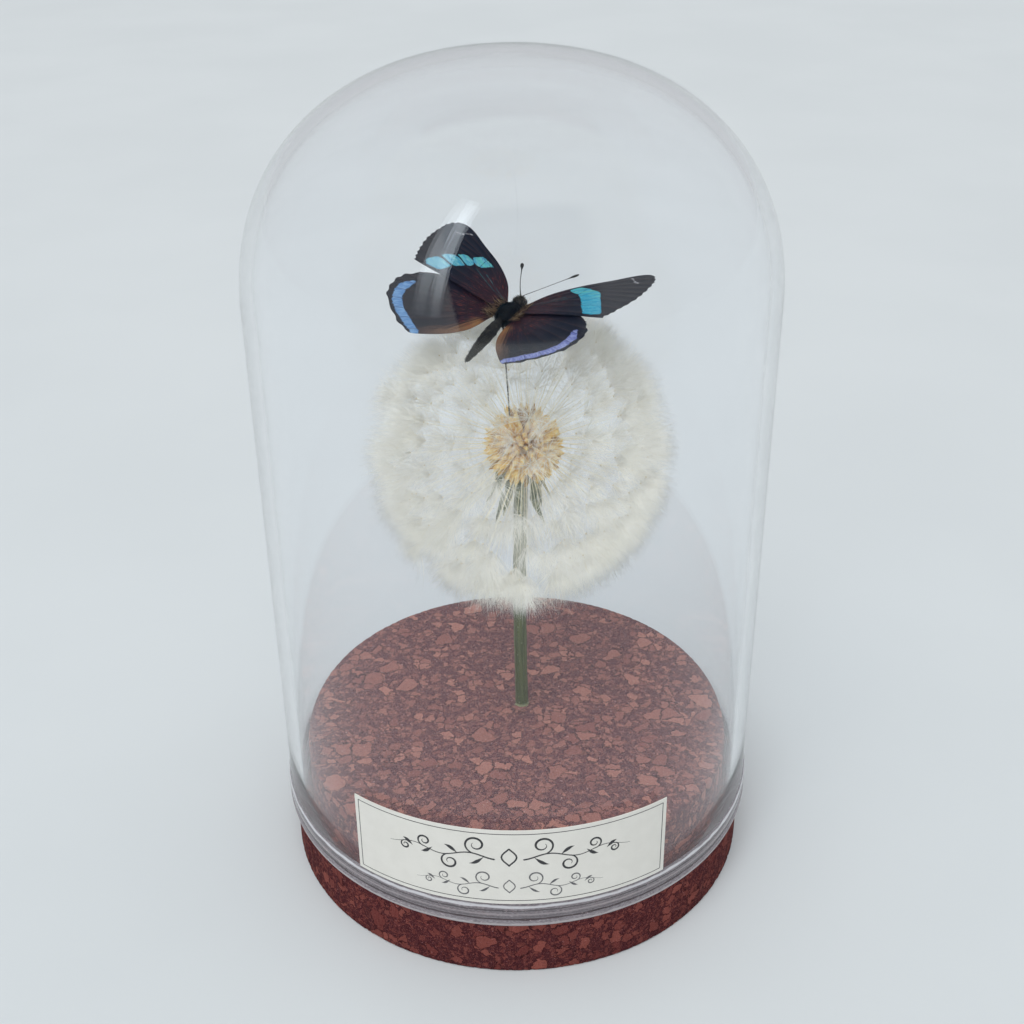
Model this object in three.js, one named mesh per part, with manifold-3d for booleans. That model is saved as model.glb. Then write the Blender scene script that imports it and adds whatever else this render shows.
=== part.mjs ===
// A butterfly pinned above a dandelion clock, under a glass dome on a stepped stone base.
// Millimetres, +Z up. The origin is the middle of the base's underside, and the label faces -Y.
import * as THREE from "three";
import { mergeVertices } from "three/addons/utils/BufferGeometryUtils.js";
import Module from "manifold-3d";

// ---- Driving dimensions: base and dome ----
const DOME_RADIUS = 45; // outside of the straight glass wall
const DOME_TOP = 151.4;
const GLASS_WALL = 2.2;
const CAP_HEIGHT = 39.5; // height of the domed part
const CAP_EXPONENT = 2.24; // superellipse: 2 would be a plain ellipse
const CAP_STEPS = 10;
const RIM_BEAD = 0.4; // how far the melted rim swells outwards
const RIM_BEAD_HEIGHT = 5.2;
const BASE_RADIUS = 44.3;
const LEDGE_HEIGHT = 11.6; // the dome's rim rests here
const PLUG_RADIUS = 41.1; // the raised middle that centres the dome
const PLUG_HEIGHT = 25.6;
const STONE_BEVEL = 0.5;
const SEAT_GAP = 0.2;
const ROUND_SEGMENTS = 52;

// ---- Driving dimensions: label ----
const LABEL_HEIGHT = 16.6;
const LABEL_BOTTOM = 17.5;
const LABEL_FROM = -128.5; // degrees about Z, with -90 facing the front
const LABEL_TO = -55.3;
const LABEL_THICKNESS = 0.25;
const LABEL_GLUE = 0.1;

// ---- Driving dimensions: dandelion ----
const CLOCK_CENTRE = new THREE.Vector3(1.3, 1.0, 82);
const CLOCK_RADIUS = 29.2;
const STEM_FOOT = new THREE.Vector3(1.1, 1.9, PLUG_HEIGHT);
const STEM_RADIUS = 1.2;
const STEM_SOCKET = 9; // how deep the stem stands in the plug
const STEM_BOW = 0.35;
const BRACT_COUNT = 12;
const BRACT_LENGTH = 11;
const BRACT_WIDTH = 1.7;
const BRACT_THICKNESS = 0.3;
const PIN_RADIUS = 0.25;

// ---- Driving dimensions: butterfly ----
const THORAX_CENTRE = new THREE.Vector3(-0.7, 0, 108.4);
const HEADING = 56.6; // degrees from +X towards +Y
const NOSE_UP = 11.5;
const LEAN = -2.9; // the left side sits a little low
const LEFT_RAISE = 21.8; // how far the left wings are lifted
const RIGHT_RAISE = 9.7;
// The pinned wings sit slightly askew on the body, each in its own way: turn about Z, in degrees.
const WING_SKEW = { leftFore: -2.9, rightFore: -3.8, leftHind: -2.45, rightHind: -2.45 };
const WING_HINGE = 1.575; // from the body's middle to the wing roots
const LEFT_HINDWING_OUT = 0.5; // the left hindwing is drawn out a little further than the others
const FOREWING_AHEAD = 1.8;
const WING_THICKNESS = 0.3;
const FOREWING_LIFT = 0.05;
const HINDWING_DROP = 0.55;
const THORAX_SIZE = [5.4, 3.3, 3.6]; // long, wide, high
const HEAD_SIZE = [2.1, 2.4, 2.2];
const HEAD_AHEAD = 4.0;
const ABDOMEN_BEHIND = 3.0;
const ABDOMEN_DROOP = 13;
const ANTENNA_LENGTH = 10;
const LEG_RADIUS = 0.15;
const TONGUE_RADIUS = 0.09;
const TONGUE_TURNS = 1.5;
const ANTENNA_SPREAD = { left: 31, right: 39 }; // degrees from straight ahead
const BELLY_CLEARANCE = 3.4; // the clock's fluff is pressed flat this far under the thorax's middle

const GAP = 0.3; // air between pieces that touch on the real object
const rad = THREE.MathUtils.degToRad;

// ---- Materials ----
const material = (color, roughness, extra = {}) =>
  new THREE.MeshStandardMaterial({ color, roughness, metalness: 0, ...extra });
const GLASS = material(0xdfe8ee, 0.04, { transparent: true, opacity: 0.25 });
const STONE = material(0x6b3532, 0.55);
const PAPER = material(0xd4d7cc, 0.8);
const STEM_GREEN = material(0x5a7048, 0.6);
const RECEPTACLE_TAN = material(0xc9a878, 0.85);
const BRACT_GREEN = material(0x6f7a62, 0.85);
const FLUFF = material(0xe9e6da, 0.95);
const WIRE = material(0x2b2a28, 0.4, { metalness: 0.8 });
const BODY_DARK = material(0x14160f, 0.7);
const WING_DARK = material(0x1d1720, 0.6);

const object = new THREE.Group();
object.name = "butterfly_on_dandelion_dome";

function piece(parent, name, geometry, look) {
  const mesh = new THREE.Mesh(geometry, look);
  mesh.name = name;
  parent.add(mesh);
  return mesh;
}

// ---- Shape helpers ----
const wasm = await Module();
wasm.setup();

function toSolid(geometry) {
  const bare = geometry.clone();
  bare.deleteAttribute("normal");
  bare.deleteAttribute("uv");
  const merged = mergeVertices(bare, 1e-4);
  const vertProperties = new Float32Array(merged.attributes.position.array);
  const triVerts = new Uint32Array(merged.index.array);
  return new wasm.Manifold(new wasm.Mesh({ numProp: 3, vertProperties, triVerts }));
}

function toGeometry(solid) {
  const { vertProperties, triVerts } = solid.getMesh();
  const geometry = new THREE.BufferGeometry();
  geometry.setAttribute("position", new THREE.BufferAttribute(vertProperties, 3));
  geometry.setIndex(new THREE.BufferAttribute(triVerts, 1));
  geometry.computeVertexNormals();
  return geometry;
}

// Turns a profile of [radius, height] points, listed from the foot of the outside upwards, about Z.
function turned(profile, segments = ROUND_SEGMENTS) {
  const points = profile.map(([radius, height]) => new THREE.Vector2(radius, height));
  return new THREE.LatheGeometry(points, segments).rotateX(Math.PI / 2);
}

// The same, about X, with the profile's heights running along +X.
function turnedAlongX(profile, segments) {
  return turned(profile, segments).rotateY(Math.PI / 2);
}

function circleShape(radius, sides) {
  const shape = new THREE.Shape();
  for (let i = 0; i < sides; i++) {
    const angle = (2 * Math.PI * i) / sides;
    const x = radius * Math.cos(angle);
    const y = radius * Math.sin(angle);
    if (i === 0) shape.moveTo(x, y);
    else shape.lineTo(x, y);
  }
  shape.closePath();
  return shape;
}

function tube(curve, radius, sides, steps) {
  return new THREE.ExtrudeGeometry(circleShape(radius, sides), { extrudePath: curve, steps });
}

const vectors = (rows) => rows.map((row) => new THREE.Vector3(...row));

// ---- Stone base: a ledge for the dome's rim and a raised plug inside it ----
function stoneBase() {
  const body = turned([
    [0, 0],
    [BASE_RADIUS - STONE_BEVEL, 0],
    [BASE_RADIUS, STONE_BEVEL],
    [BASE_RADIUS, LEDGE_HEIGHT - STONE_BEVEL],
    [BASE_RADIUS - STONE_BEVEL, LEDGE_HEIGHT],
    [PLUG_RADIUS, LEDGE_HEIGHT],
    [PLUG_RADIUS, PLUG_HEIGHT - STONE_BEVEL],
    [PLUG_RADIUS - STONE_BEVEL, PLUG_HEIGHT],
    [0, PLUG_HEIGHT],
  ]);
  const socketRadius = STEM_RADIUS + SEAT_GAP;
  const socket = new THREE.CylinderGeometry(socketRadius, socketRadius, 2 * STEM_SOCKET, 24);
  socket.rotateX(Math.PI / 2);
  socket.translate(STEM_FOOT.x, STEM_FOOT.y, PLUG_HEIGHT);
  return toGeometry(toSolid(body).subtract(toSolid(socket)));
}

// ---- Glass dome: a straight wall under a superellipse cap ----
function capCurve(radius, height, foot) {
  const points = [];
  for (let i = 0; i <= CAP_STEPS; i++) {
    const t = (Math.PI / 2) * (i / CAP_STEPS);
    const across = i === CAP_STEPS ? 0 : Math.cos(t) ** (2 / CAP_EXPONENT);
    points.push([radius * across, foot + height * Math.sin(t) ** (2 / CAP_EXPONENT)]);
  }
  return points;
}

function glassDome() {
  const rim = LEDGE_HEIGHT + SEAT_GAP;
  const shoulder = DOME_TOP - CAP_HEIGHT;
  const inside = DOME_RADIUS - GLASS_WALL;
  const beadMiddle = rim + RIM_BEAD_HEIGHT / 2;
  const outer = [
    [DOME_RADIUS - 0.5 * GLASS_WALL, rim],
    [DOME_RADIUS + 0.6 * RIM_BEAD, rim + 0.15 * RIM_BEAD_HEIGHT],
    [DOME_RADIUS + RIM_BEAD, beadMiddle],
    [DOME_RADIUS, rim + RIM_BEAD_HEIGHT],
    ...capCurve(DOME_RADIUS, CAP_HEIGHT, shoulder),
  ];
  const inner = [
    ...capCurve(inside, CAP_HEIGHT - GLASS_WALL, shoulder).reverse(),
    [inside, rim + 0.4 * RIM_BEAD_HEIGHT],
    [inside + 0.2 * GLASS_WALL, rim],
  ];
  return turned([...outer, ...inner, outer[0]]);
}

// ---- Paper label, wrapped round the outside of the glass ----
function labelSheet() {
  const inner = DOME_RADIUS + LABEL_GLUE;
  const outer = inner + LABEL_THICKNESS;
  const sector = new THREE.Shape();
  sector.absarc(0, 0, outer, rad(LABEL_FROM), rad(LABEL_TO), false);
  sector.absarc(0, 0, inner, rad(LABEL_TO), rad(LABEL_FROM), true);
  sector.closePath();
  const settings = { depth: LABEL_HEIGHT, bevelEnabled: false, curveSegments: 24 };
  return new THREE.ExtrudeGeometry(sector, settings).translate(0, 0, LABEL_BOTTOM);
}

// ---- Dandelion ----
const RECEPTACLE_PROFILE = [
  [0, -4.2],
  [1.5, -4.0],
  [2.6, -2.6],
  [3.3, -0.8],
  [3.4, 0.6],
  [2.9, 2.2],
  [1.8, 3.2],
  [0, 3.6],
];
const BRACT_SEAT = { radius: 3.1, drop: -3.1 }; // where a bract leaves the receptacle's underside
// The hollow round the stem and the bracts, as [radius, height] about the clock's centre.
const HOLLOW_PROFILE = [
  [0, -CLOCK_RADIUS - 4],
  [STEM_RADIUS + 1, -CLOCK_RADIUS - 4],
  [STEM_RADIUS + 1, -17],
  [9.5, -15.5],
  [9.5, -2.4],
  [4.2, -0.6],
  [3.9, 1.8],
  [2.4, 3.8],
  [0, 4.3],
];

function stem() {
  const top = CLOCK_CENTRE.clone().add(new THREE.Vector3(0, 0, RECEPTACLE_PROFILE[0][1] - GAP));
  const foot = STEM_FOOT.clone().add(new THREE.Vector3(0, 0, -STEM_SOCKET + GAP));
  const middle = STEM_FOOT.clone().lerp(top, 0.5).add(new THREE.Vector3(-STEM_BOW, 0, 0));
  const curve = new THREE.CatmullRomCurve3([foot, STEM_FOOT.clone(), middle, top]);
  return tube(curve, STEM_RADIUS, 12, 12);
}

// A narrow leaf laid along +X, then folded down and back under the receptacle.
// fold is the angle that its far end has turned through, in degrees.
function bract(length, fold) {
  const outline = new THREE.Shape();
  const steps = 8;
  const halfWidth = (u) => 0.5 * BRACT_WIDTH * (0.7 + 1.1 * u - 1.7 * u * u);
  outline.moveTo(0, -halfWidth(0));
  for (let i = 1; i <= steps; i++) outline.lineTo((length * i) / steps, -halfWidth(i / steps));
  for (let i = steps; i >= 0; i--) outline.lineTo((length * i) / steps, halfWidth(i / steps));
  const flat = new THREE.ExtrudeGeometry(outline, { depth: BRACT_THICKNESS, bevelEnabled: false });
  const place = flat.attributes.position;
  for (let i = 0; i < place.count; i++) {
    const reach = place.getX(i);
    const depth = place.getZ(i);
    const along = reach / length;
    const turn = rad(fold) * Math.min(1, 2.2 * along);
    const x = reach * Math.cos(turn / 2) * (1 - 0.28 * along) + depth * Math.sin(turn);
    const z = -reach * Math.sin(turn / 2) + depth * Math.cos(turn);
    place.setXYZ(i, x, place.getY(i), z);
  }
  return flat;
}

// The ball that all the seeds' parachutes fill, open at the foot for the stem and pierced for the pin.
function seedBall(pin, belly) {
  const ball = new THREE.SphereGeometry(CLOCK_RADIUS, 32, 18).rotateX(Math.PI / 2);
  const hollow = turned(HOLLOW_PROFILE, 24);
  let solid = toSolid(ball).subtract(toSolid(hollow));
  const away = new THREE.BoxGeometry(4 * CLOCK_RADIUS, 4 * CLOCK_RADIUS, 2 * CLOCK_RADIUS);
  away.translate(0, 0, CLOCK_RADIUS);
  away.applyMatrix4(belly);
  away.translate(-CLOCK_CENTRE.x, -CLOCK_CENTRE.y, -CLOCK_CENTRE.z);
  solid = solid.subtract(toSolid(away));
  const bore = tube(pin, PIN_RADIUS + GAP, 10, 2);
  bore.translate(-CLOCK_CENTRE.x, -CLOCK_CENTRE.y, -CLOCK_CENTRE.z);
  return toGeometry(solid.subtract(toSolid(bore)));
}

// ---- Butterfly ----
const butterfly = new THREE.Group(); // +X is the head's way, +Y the left side and +Z the back
butterfly.rotation.set(rad(LEAN), rad(-NOSE_UP), rad(HEADING), "ZYX");
butterfly.position.copy(THORAX_CENTRE);
butterfly.updateMatrixWorld(true);

function egg([long, wide, high], steps = 8, segments = 16) {
  const profile = [];
  for (let i = 0; i <= steps; i++) {
    const t = Math.PI * (i / steps);
    const edge = i === 0 || i === steps;
    profile.push([edge ? 0 : Math.sin(t), -Math.cos(t)]);
  }
  return turnedAlongX(profile, segments).scale(long / 2, wide / 2, high / 2);
}

const ABDOMEN_PROFILE = [
  [0, -9.6],
  [0.22, -9.4],
  [0.45, -8.5],
  [0.7, -7.0],
  [0.92, -4.8],
  [1.04, -2.8],
  [0.98, -1.1],
  [0.64, -0.3],
  [0, 0],
];

function antenna() {
  return turnedAlongX(
    [
      [0, 0],
      [0.2, 0],
      [0.17, 0.8 * ANTENNA_LENGTH],
      [0.24, 0.86 * ANTENNA_LENGTH],
      [0.44, 0.93 * ANTENNA_LENGTH],
      [0.36, 0.985 * ANTENNA_LENGTH],
      [0, ANTENNA_LENGTH],
    ],
    10,
  );
}

// A walking leg, folded flat under the thorax: hip, knee, ankle and foot.
function foldedLeg(hip, side, drop) {
  const route = vectors([
    [hip, side * 0.75, -1.95],
    [hip + 0.6, side * 2.0, -2.3 - drop],
    [hip - 0.6, side * 2.5, -2.35 - drop],
    [hip - 1.5, side * 1.3, -2.5 - drop],
    [hip - 2.4, side * 0.9, -2.55 - drop],
  ]);
  return tube(new THREE.CatmullRomCurve3(route), LEG_RADIUS, 6, 10);
}

function coiledTongue() {
  const route = [];
  const steps = 16;
  for (let i = 0; i <= steps; i++) {
    const turn = (2 * Math.PI * TONGUE_TURNS * i) / steps;
    const radius = 0.32 + 0.045 * turn;
    route.push([radius * Math.cos(turn), 0, radius * Math.sin(turn)]);
  }
  return tube(new THREE.CatmullRomCurve3(vectors(route)), TONGUE_RADIUS, 6, 26);
}

// Wing outlines as [ahead, out] from the wing's root. The outer edge is scalloped between the veins.
const FOREWING = {
  front: [
    [1.3, 0.6],
    [4.4, 2.8],
    [6.7, 5.4],
    [8.6, 8.4],
    [10.5, 12.4],
    [12.4, 16.2],
    [12.8, 18.4],
    [12.2, 19.85],
  ],
  outer: [
    [12.2, 19.85],
    [10.7, 20.8],
    [8.9, 21.05],
    [6.5, 21.1],
    [4.2, 20.85],
    [1.6, 20.1],
    [-0.3, 19.4],
    [-1.9, 18.65],
  ],
  back: [
    [-1.9, 18.65],
    [-2.05, 16],
    [-1.95, 10],
    [-1.85, 4],
    [-1.5, 0.6],
  ],
  scallops: 7,
};
const HINDWING = {
  front: [
    [1.1, 0.6],
    [2.2, 4],
    [1.9, 9],
    [0.2, 13.5],
    [-1.9, 16.1],
  ],
  outer: [
    [-1.9, 16.1],
    [-3.4, 17.3],
    [-4.9, 17.8],
    [-6.7, 17.75],
    [-8.6, 17.2],
    [-10.3, 16],
    [-12.6, 12.9],
    [-13.9, 10.7],
    [-14.45, 8.6],
  ],
  back: [
    [-14.45, 8.6],
    [-14.2, 7.2],
    [-11.2, 4],
    [-8.9, 2.2],
    [-6.8, 1.1],
    [-4.8, 0.6],
    [-1.2, 0.6],
  ],
  scallops: 7,
};
const SCALLOP_DEPTH = 0.22;
const POINTS_PER_SCALLOP = 4;

function curvePoints(rows, count) {
  const curve = new THREE.SplineCurve(rows.map((row) => new THREE.Vector2(...row)));
  return curve.getPoints(count);
}

// A flat wing in the XY plane. side is 1 for the left wings and -1 for the right ones.
function wingPlate(wing, side) {
  const outer = curvePoints(wing.outer, POINTS_PER_SCALLOP * wing.scallops);
  const scalloped = outer.map((point, i) => {
    const before = outer[Math.max(i - 1, 0)];
    const after = outer[Math.min(i + 1, outer.length - 1)];
    const along = after.clone().sub(before).normalize();
    const dip = SCALLOP_DEPTH * Math.sin((Math.PI * i) / POINTS_PER_SCALLOP) ** 2;
    return new THREE.Vector2(point.x - along.y * dip, point.y + along.x * dip);
  });
  const points = [
    ...curvePoints(wing.front, 12).slice(0, -1),
    ...scalloped.slice(0, -1),
    ...curvePoints(wing.back, 10),
  ];
  const outline = new THREE.Shape(points.map((point) => new THREE.Vector2(point.x, side * point.y)));
  return new THREE.ExtrudeGeometry(outline, { depth: WING_THICKNESS, bevelEnabled: false });
}

function addWing(name, wing, side, ahead, height, skew, drawnOut = 0) {
  const hinge = new THREE.Group();
  hinge.position.set(ahead, side * (WING_HINGE + drawnOut), 0);
  hinge.rotation.x = side * rad(side > 0 ? LEFT_RAISE : RIGHT_RAISE);
  butterfly.add(hinge);
  const mesh = piece(hinge, name, wingPlate(wing, side), WING_DARK);
  mesh.rotation.z = rad(skew);
  mesh.position.z = height;
}

// ---- Assembly ----
piece(object, "stone_base", stoneBase(), STONE);
piece(object, "glass_dome", glassDome(), GLASS);
piece(object, "label", labelSheet(), PAPER);
piece(object, "flower_stem", stem(), STEM_GREEN);

const clock = new THREE.Group();
clock.position.copy(CLOCK_CENTRE);
object.add(clock);
piece(clock, "receptacle", turned(RECEPTACLE_PROFILE, 24), RECEPTACLE_TAN);
for (let i = 0; i < BRACT_COUNT; i++) {
  const around = new THREE.Group();
  around.rotation.z = (2 * Math.PI * i) / BRACT_COUNT;
  clock.add(around);
  const long = BRACT_LENGTH * (0.86 + 0.14 * Math.cos(2.4 * i));
  const fold = 128 + 22 * Math.sin(1.7 * i);
  const leaf = piece(around, `bract_${i + 1}`, bract(long, fold), BRACT_GREEN);
  leaf.position.set(BRACT_SEAT.radius, 0, BRACT_SEAT.drop);
}

const inButterfly = (x, y, z) => new THREE.Vector3(x, y, z).applyMatrix4(butterfly.matrixWorld);
const pinTop = inButterfly(-2.0, 0, -1.45 - GAP);
const pinFoot = CLOCK_CENTRE.clone().add(new THREE.Vector3(-1.7, -0.4, 3.25 + GAP));
const pinLine = new THREE.LineCurve3(pinFoot, pinTop);
piece(object, "mounting_pin", tube(pinLine, PIN_RADIUS, 8, 1), WIRE);

const overshoot = new THREE.Vector3().subVectors(pinTop, pinFoot);
const boreLine = new THREE.LineCurve3(
  pinFoot.clone().addScaledVector(overshoot, -0.08),
  pinTop.clone().addScaledVector(overshoot, 0.2),
);
const belly = butterfly.matrixWorld
  .clone()
  .multiply(new THREE.Matrix4().makeTranslation(0, 0, -BELLY_CLEARANCE));
piece(clock, "seed_ball", seedBall(boreLine, belly), FLUFF);

object.add(butterfly);
piece(butterfly, "thorax", egg(THORAX_SIZE), BODY_DARK);
piece(butterfly, "head", egg(HEAD_SIZE), BODY_DARK).position.x = HEAD_AHEAD;
const abdomen = piece(butterfly, "abdomen", turnedAlongX(ABDOMEN_PROFILE, 18), BODY_DARK);
abdomen.position.x = -ABDOMEN_BEHIND;
abdomen.rotation.y = rad(-ABDOMEN_DROOP);
piece(butterfly, "tongue", coiledTongue(), BODY_DARK).position.set(HEAD_AHEAD + 0.5, 0, -1.95);
addWing("left_forewing", FOREWING, 1, FOREWING_AHEAD, FOREWING_LIFT, WING_SKEW.leftFore);
addWing("right_forewing", FOREWING, -1, FOREWING_AHEAD, FOREWING_LIFT, WING_SKEW.rightFore);
addWing("left_hindwing", HINDWING, 1, 0, -HINDWING_DROP, WING_SKEW.leftHind, LEFT_HINDWING_OUT);
addWing("right_hindwing", HINDWING, -1, 0, -HINDWING_DROP, WING_SKEW.rightHind);
for (const [sideName, side] of [["left", 1], ["right", -1]]) {
  const feeler = piece(butterfly, `${sideName}_antenna`, antenna(), BODY_DARK);
  feeler.position.set(HEAD_AHEAD + 1.15, side * 0.55, 0.95);
  feeler.rotation.set(0, rad(-4), side * rad(ANTENNA_SPREAD[sideName]), "ZYX");
  piece(butterfly, `${sideName}_middle_leg`, foldedLeg(1.3, side, 0.45), BODY_DARK);
  piece(butterfly, `${sideName}_hind_leg`, foldedLeg(-0.9, side, 0), BODY_DARK);
}

export default object;
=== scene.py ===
# %% [markdown]
# # A butterfly above a dandelion clock, under a glass dome
#
# A thin wire holds a dried butterfly above a dandelion clock. Both stand on a stepped disc of red
# agglomerate stone, under a clear glass dome with a paper label. The CAD model already says where every
# piece is. This file loads it as a fixed frame and makes the looks around it, one piece at a time: stone,
# glass, label, stalk, seed head, down, wire and butterfly, then the floor, the lights and the camera.

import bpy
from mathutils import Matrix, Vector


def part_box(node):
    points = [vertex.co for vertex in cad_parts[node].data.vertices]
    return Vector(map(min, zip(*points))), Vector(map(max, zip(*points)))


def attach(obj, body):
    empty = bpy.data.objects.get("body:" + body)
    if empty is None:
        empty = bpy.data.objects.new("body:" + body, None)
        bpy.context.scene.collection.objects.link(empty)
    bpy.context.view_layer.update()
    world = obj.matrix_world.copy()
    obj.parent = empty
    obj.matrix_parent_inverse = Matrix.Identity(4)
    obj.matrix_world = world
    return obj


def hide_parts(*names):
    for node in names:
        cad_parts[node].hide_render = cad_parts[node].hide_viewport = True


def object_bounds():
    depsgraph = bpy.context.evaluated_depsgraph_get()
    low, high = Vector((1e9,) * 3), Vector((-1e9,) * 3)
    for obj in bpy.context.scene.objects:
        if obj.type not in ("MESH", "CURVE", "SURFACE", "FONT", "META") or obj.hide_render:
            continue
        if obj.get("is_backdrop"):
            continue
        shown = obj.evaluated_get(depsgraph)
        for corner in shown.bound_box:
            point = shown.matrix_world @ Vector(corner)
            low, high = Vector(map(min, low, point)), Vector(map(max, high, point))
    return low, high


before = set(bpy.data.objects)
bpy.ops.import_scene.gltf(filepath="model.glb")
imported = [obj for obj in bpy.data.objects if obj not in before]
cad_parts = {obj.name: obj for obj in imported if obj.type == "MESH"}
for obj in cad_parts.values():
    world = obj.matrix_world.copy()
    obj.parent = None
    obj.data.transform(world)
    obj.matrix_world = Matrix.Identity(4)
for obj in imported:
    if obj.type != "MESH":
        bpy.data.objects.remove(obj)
CAD_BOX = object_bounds()
print("CAD box:", [round(value, 4) for corner in CAD_BOX for value in corner])

# %% Units and dice
import math

import bmesh
import bpy
import numpy as np
from mathutils import Matrix, Vector

MM = 0.001  # the frame is in metres, and sizes below are in millimetres
dice = np.random.default_rng(11)


def top_of(node):
    """The highest point of a CAD node, in millimetres."""
    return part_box(node)[1].z / MM


PLUG_TOP = top_of("stone_base")
DOME_TOP = top_of("glass_dome")
print(f"plug top {PLUG_TOP:.1f} mm, dome top {DOME_TOP:.1f} mm")

# %% [markdown]
# ## The camera comes first
#
# The camera stands in front of the label and looks down on the dome at about 30 degrees. Its matrix is
# a place, then a tilt about X, then a small roll about its own line of sight.

# %% Camera
CAMERA_PLACE = Vector((0.0, -225.6, 197.3)) * MM
CAMERA_DOWN = math.radians(29.48)
CAMERA_ROLL = math.radians(-0.6)

bpy.ops.object.camera_add()
camera = bpy.context.object
camera.data.lens = 49.9
camera.data.sensor_width = 36
camera.data.shift_x = -0.0022
camera.data.clip_start = 0.01
camera.matrix_world = (
    Matrix.Translation(CAMERA_PLACE)
    @ Matrix.Rotation(math.pi / 2 - CAMERA_DOWN, 4, "X")
    @ Matrix.Rotation(CAMERA_ROLL, 4, "Z")
)
bpy.context.scene.camera = camera
print("camera height", round(camera.location.z / MM, 1), "mm")

# %% [markdown]
# ## Working in edit mode from a script
#
# Operators act on whatever is selected. So each step selects just what it needs: one object, or the
# faces, edges or vertices of a mesh that pass a test on their place.


# %% Helpers for selecting and moving
def select_only(*pieces):
    """Selects these objects and nothing else. The last one becomes active."""
    if bpy.context.object and bpy.context.object.mode != "OBJECT":
        bpy.ops.object.mode_set(mode="OBJECT")
    bpy.ops.object.select_all(action="DESELECT")
    for piece in pieces:
        piece.select_set(True)
    bpy.context.view_layer.objects.active = pieces[-1]


def start_editing(piece):
    select_only(piece)
    bpy.ops.object.mode_set(mode="EDIT")


def stop_editing():
    bpy.ops.object.mode_set(mode="OBJECT")


def pick(piece, kind, test):
    """In edit mode, selects the faces, edges or vertices that pass a test, and only those."""
    bpy.ops.mesh.select_mode(type=kind)
    bpy.ops.mesh.select_all(action="DESELECT")
    mesh = bmesh.from_edit_mesh(piece.data)
    for item in {"VERT": mesh.verts, "EDGE": mesh.edges, "FACE": mesh.faces}[kind]:
        if test(item):
            item.select_set(True)
    mesh.select_flush_mode()
    bmesh.update_edit_mesh(piece.data)


def points_of(piece):
    """The vertices of an object's mesh as an array with a row for each."""
    points = np.empty(3 * len(piece.data.vertices))
    piece.data.vertices.foreach_get("co", points)
    return points.reshape(-1, 3)


def move_points(piece, points):
    piece.data.vertices.foreach_set("co", np.ascontiguousarray(points, dtype=np.float32).ravel())
    piece.data.update()


def add_modifier(piece, kind, **settings):
    """Adds a modifier, sets it and applies it."""
    select_only(piece)
    modifier = piece.modifiers.new(kind.lower(), kind)
    for name, value in settings.items():
        setattr(modifier, name, value)
    bpy.ops.object.modifier_apply(modifier=modifier.name)


# %% Helper for smooth outlines
def spline(rows, count):
    """A smooth curve through the rows, as an array of count + 1 points (Catmull-Rom)."""
    rows = np.array(rows, float)
    last = len(rows) - 1
    points = []
    for i in range(count + 1):
        where = last * i / count
        k = min(int(where), last - 1)
        t = where - k
        a, b, c, d = rows[max(k - 1, 0)], rows[k], rows[k + 1], rows[min(k + 2, last)]
        points.append(
            0.5 * (2 * b + (c - a) * t + (2 * a - 5 * b + 4 * c - d) * t**2
                   + (3 * b - a - 3 * c + d) * t**3)
        )
    return np.array(points)


# %% [markdown]
# ## Finishing a piece
#
# A finished piece has its place in its mesh and its object at the origin. It gets its materials, unless
# it has some, the CAD nodes that it stands for are hidden, and it is parented to the body that it moves
# with.
# Nothing here moves, so there is one body.


# %% Helper for finished pieces
def finish_piece(piece, name, looks, slot, *nodes, smooth=None):
    select_only(piece)
    bpy.ops.object.transform_apply(location=True, rotation=True, scale=True)
    if smooth is not None:
        bpy.ops.object.shade_smooth_by_angle(angle=math.radians(smooth))
    piece.name = name
    piece.data.name = name
    if not piece.data.materials:
        for look in looks:
            piece.data.materials.append(look)
    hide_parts(*nodes)
    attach(piece, "root")
    triangles = sum(len(face.vertices) - 2 for face in piece.data.polygons)
    print(f"{name}: {triangles} triangles")
    return piece


# %% [markdown]
# ## Writing shader nodes
#
# A material is a graph of nodes. These helpers add one node per call, and link it at once: an input that
# is given as another node's socket becomes a link, and any other input becomes a plain value.


# %% Helpers for shader nodes
def node(tree, kind, inputs=None, **settings):
    made = tree.nodes.new(kind)
    for name, value in settings.items():
        setattr(made, name, value)
    for name, value in (inputs or {}).items():
        if isinstance(value, bpy.types.NodeSocket):
            tree.links.new(value, made.inputs[name])
        else:
            made.inputs[name].default_value = value
    return made


def maths(tree, operation, *values):
    return node(tree, "ShaderNodeMath", dict(enumerate(values)), operation=operation).outputs[0]


def vector_maths(tree, operation, *values):
    made = node(tree, "ShaderNodeVectorMath", dict(enumerate(values)), operation=operation)
    return made.outputs["Value" if operation in ("LENGTH", "DISTANCE") else "Vector"]


def ramp(tree, value, start, end):
    """A soft step: 0 where the value is at start, 1 where it is at end."""
    inputs = {"Value": value, "From Min": start, "From Max": end}
    return node(tree, "ShaderNodeMapRange", inputs, interpolation_type="SMOOTHSTEP").outputs["Result"]


def blend(tree, mask, under, over):
    """Colour over shows where the mask is 1, and colour under where it is 0."""
    return node(tree, "ShaderNodeMix", {0: mask, 6: under, 7: over}, data_type="RGBA").outputs[2]


def cover(tree, under, over, value, start, end, strength=None):
    """Lays colour over on colour under as a value goes from start to end, in full or by a strength."""
    mask = ramp(tree, value, start, end)
    if strength is not None:
        mask = maths(tree, "MULTIPLY", mask, strength)
    return blend(tree, mask, under, over)


def attribute(tree, name, output="Fac"):
    return node(tree, "ShaderNodeAttribute", attribute_name=name).outputs[output]


def object_millimetres(tree):
    """Where a point is on the object, in millimetres."""
    place = node(tree, "ShaderNodeTexCoord").outputs["Object"]
    return vector_maths(tree, "MULTIPLY", place, (1 / MM, 1 / MM, 1 / MM))


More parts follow.
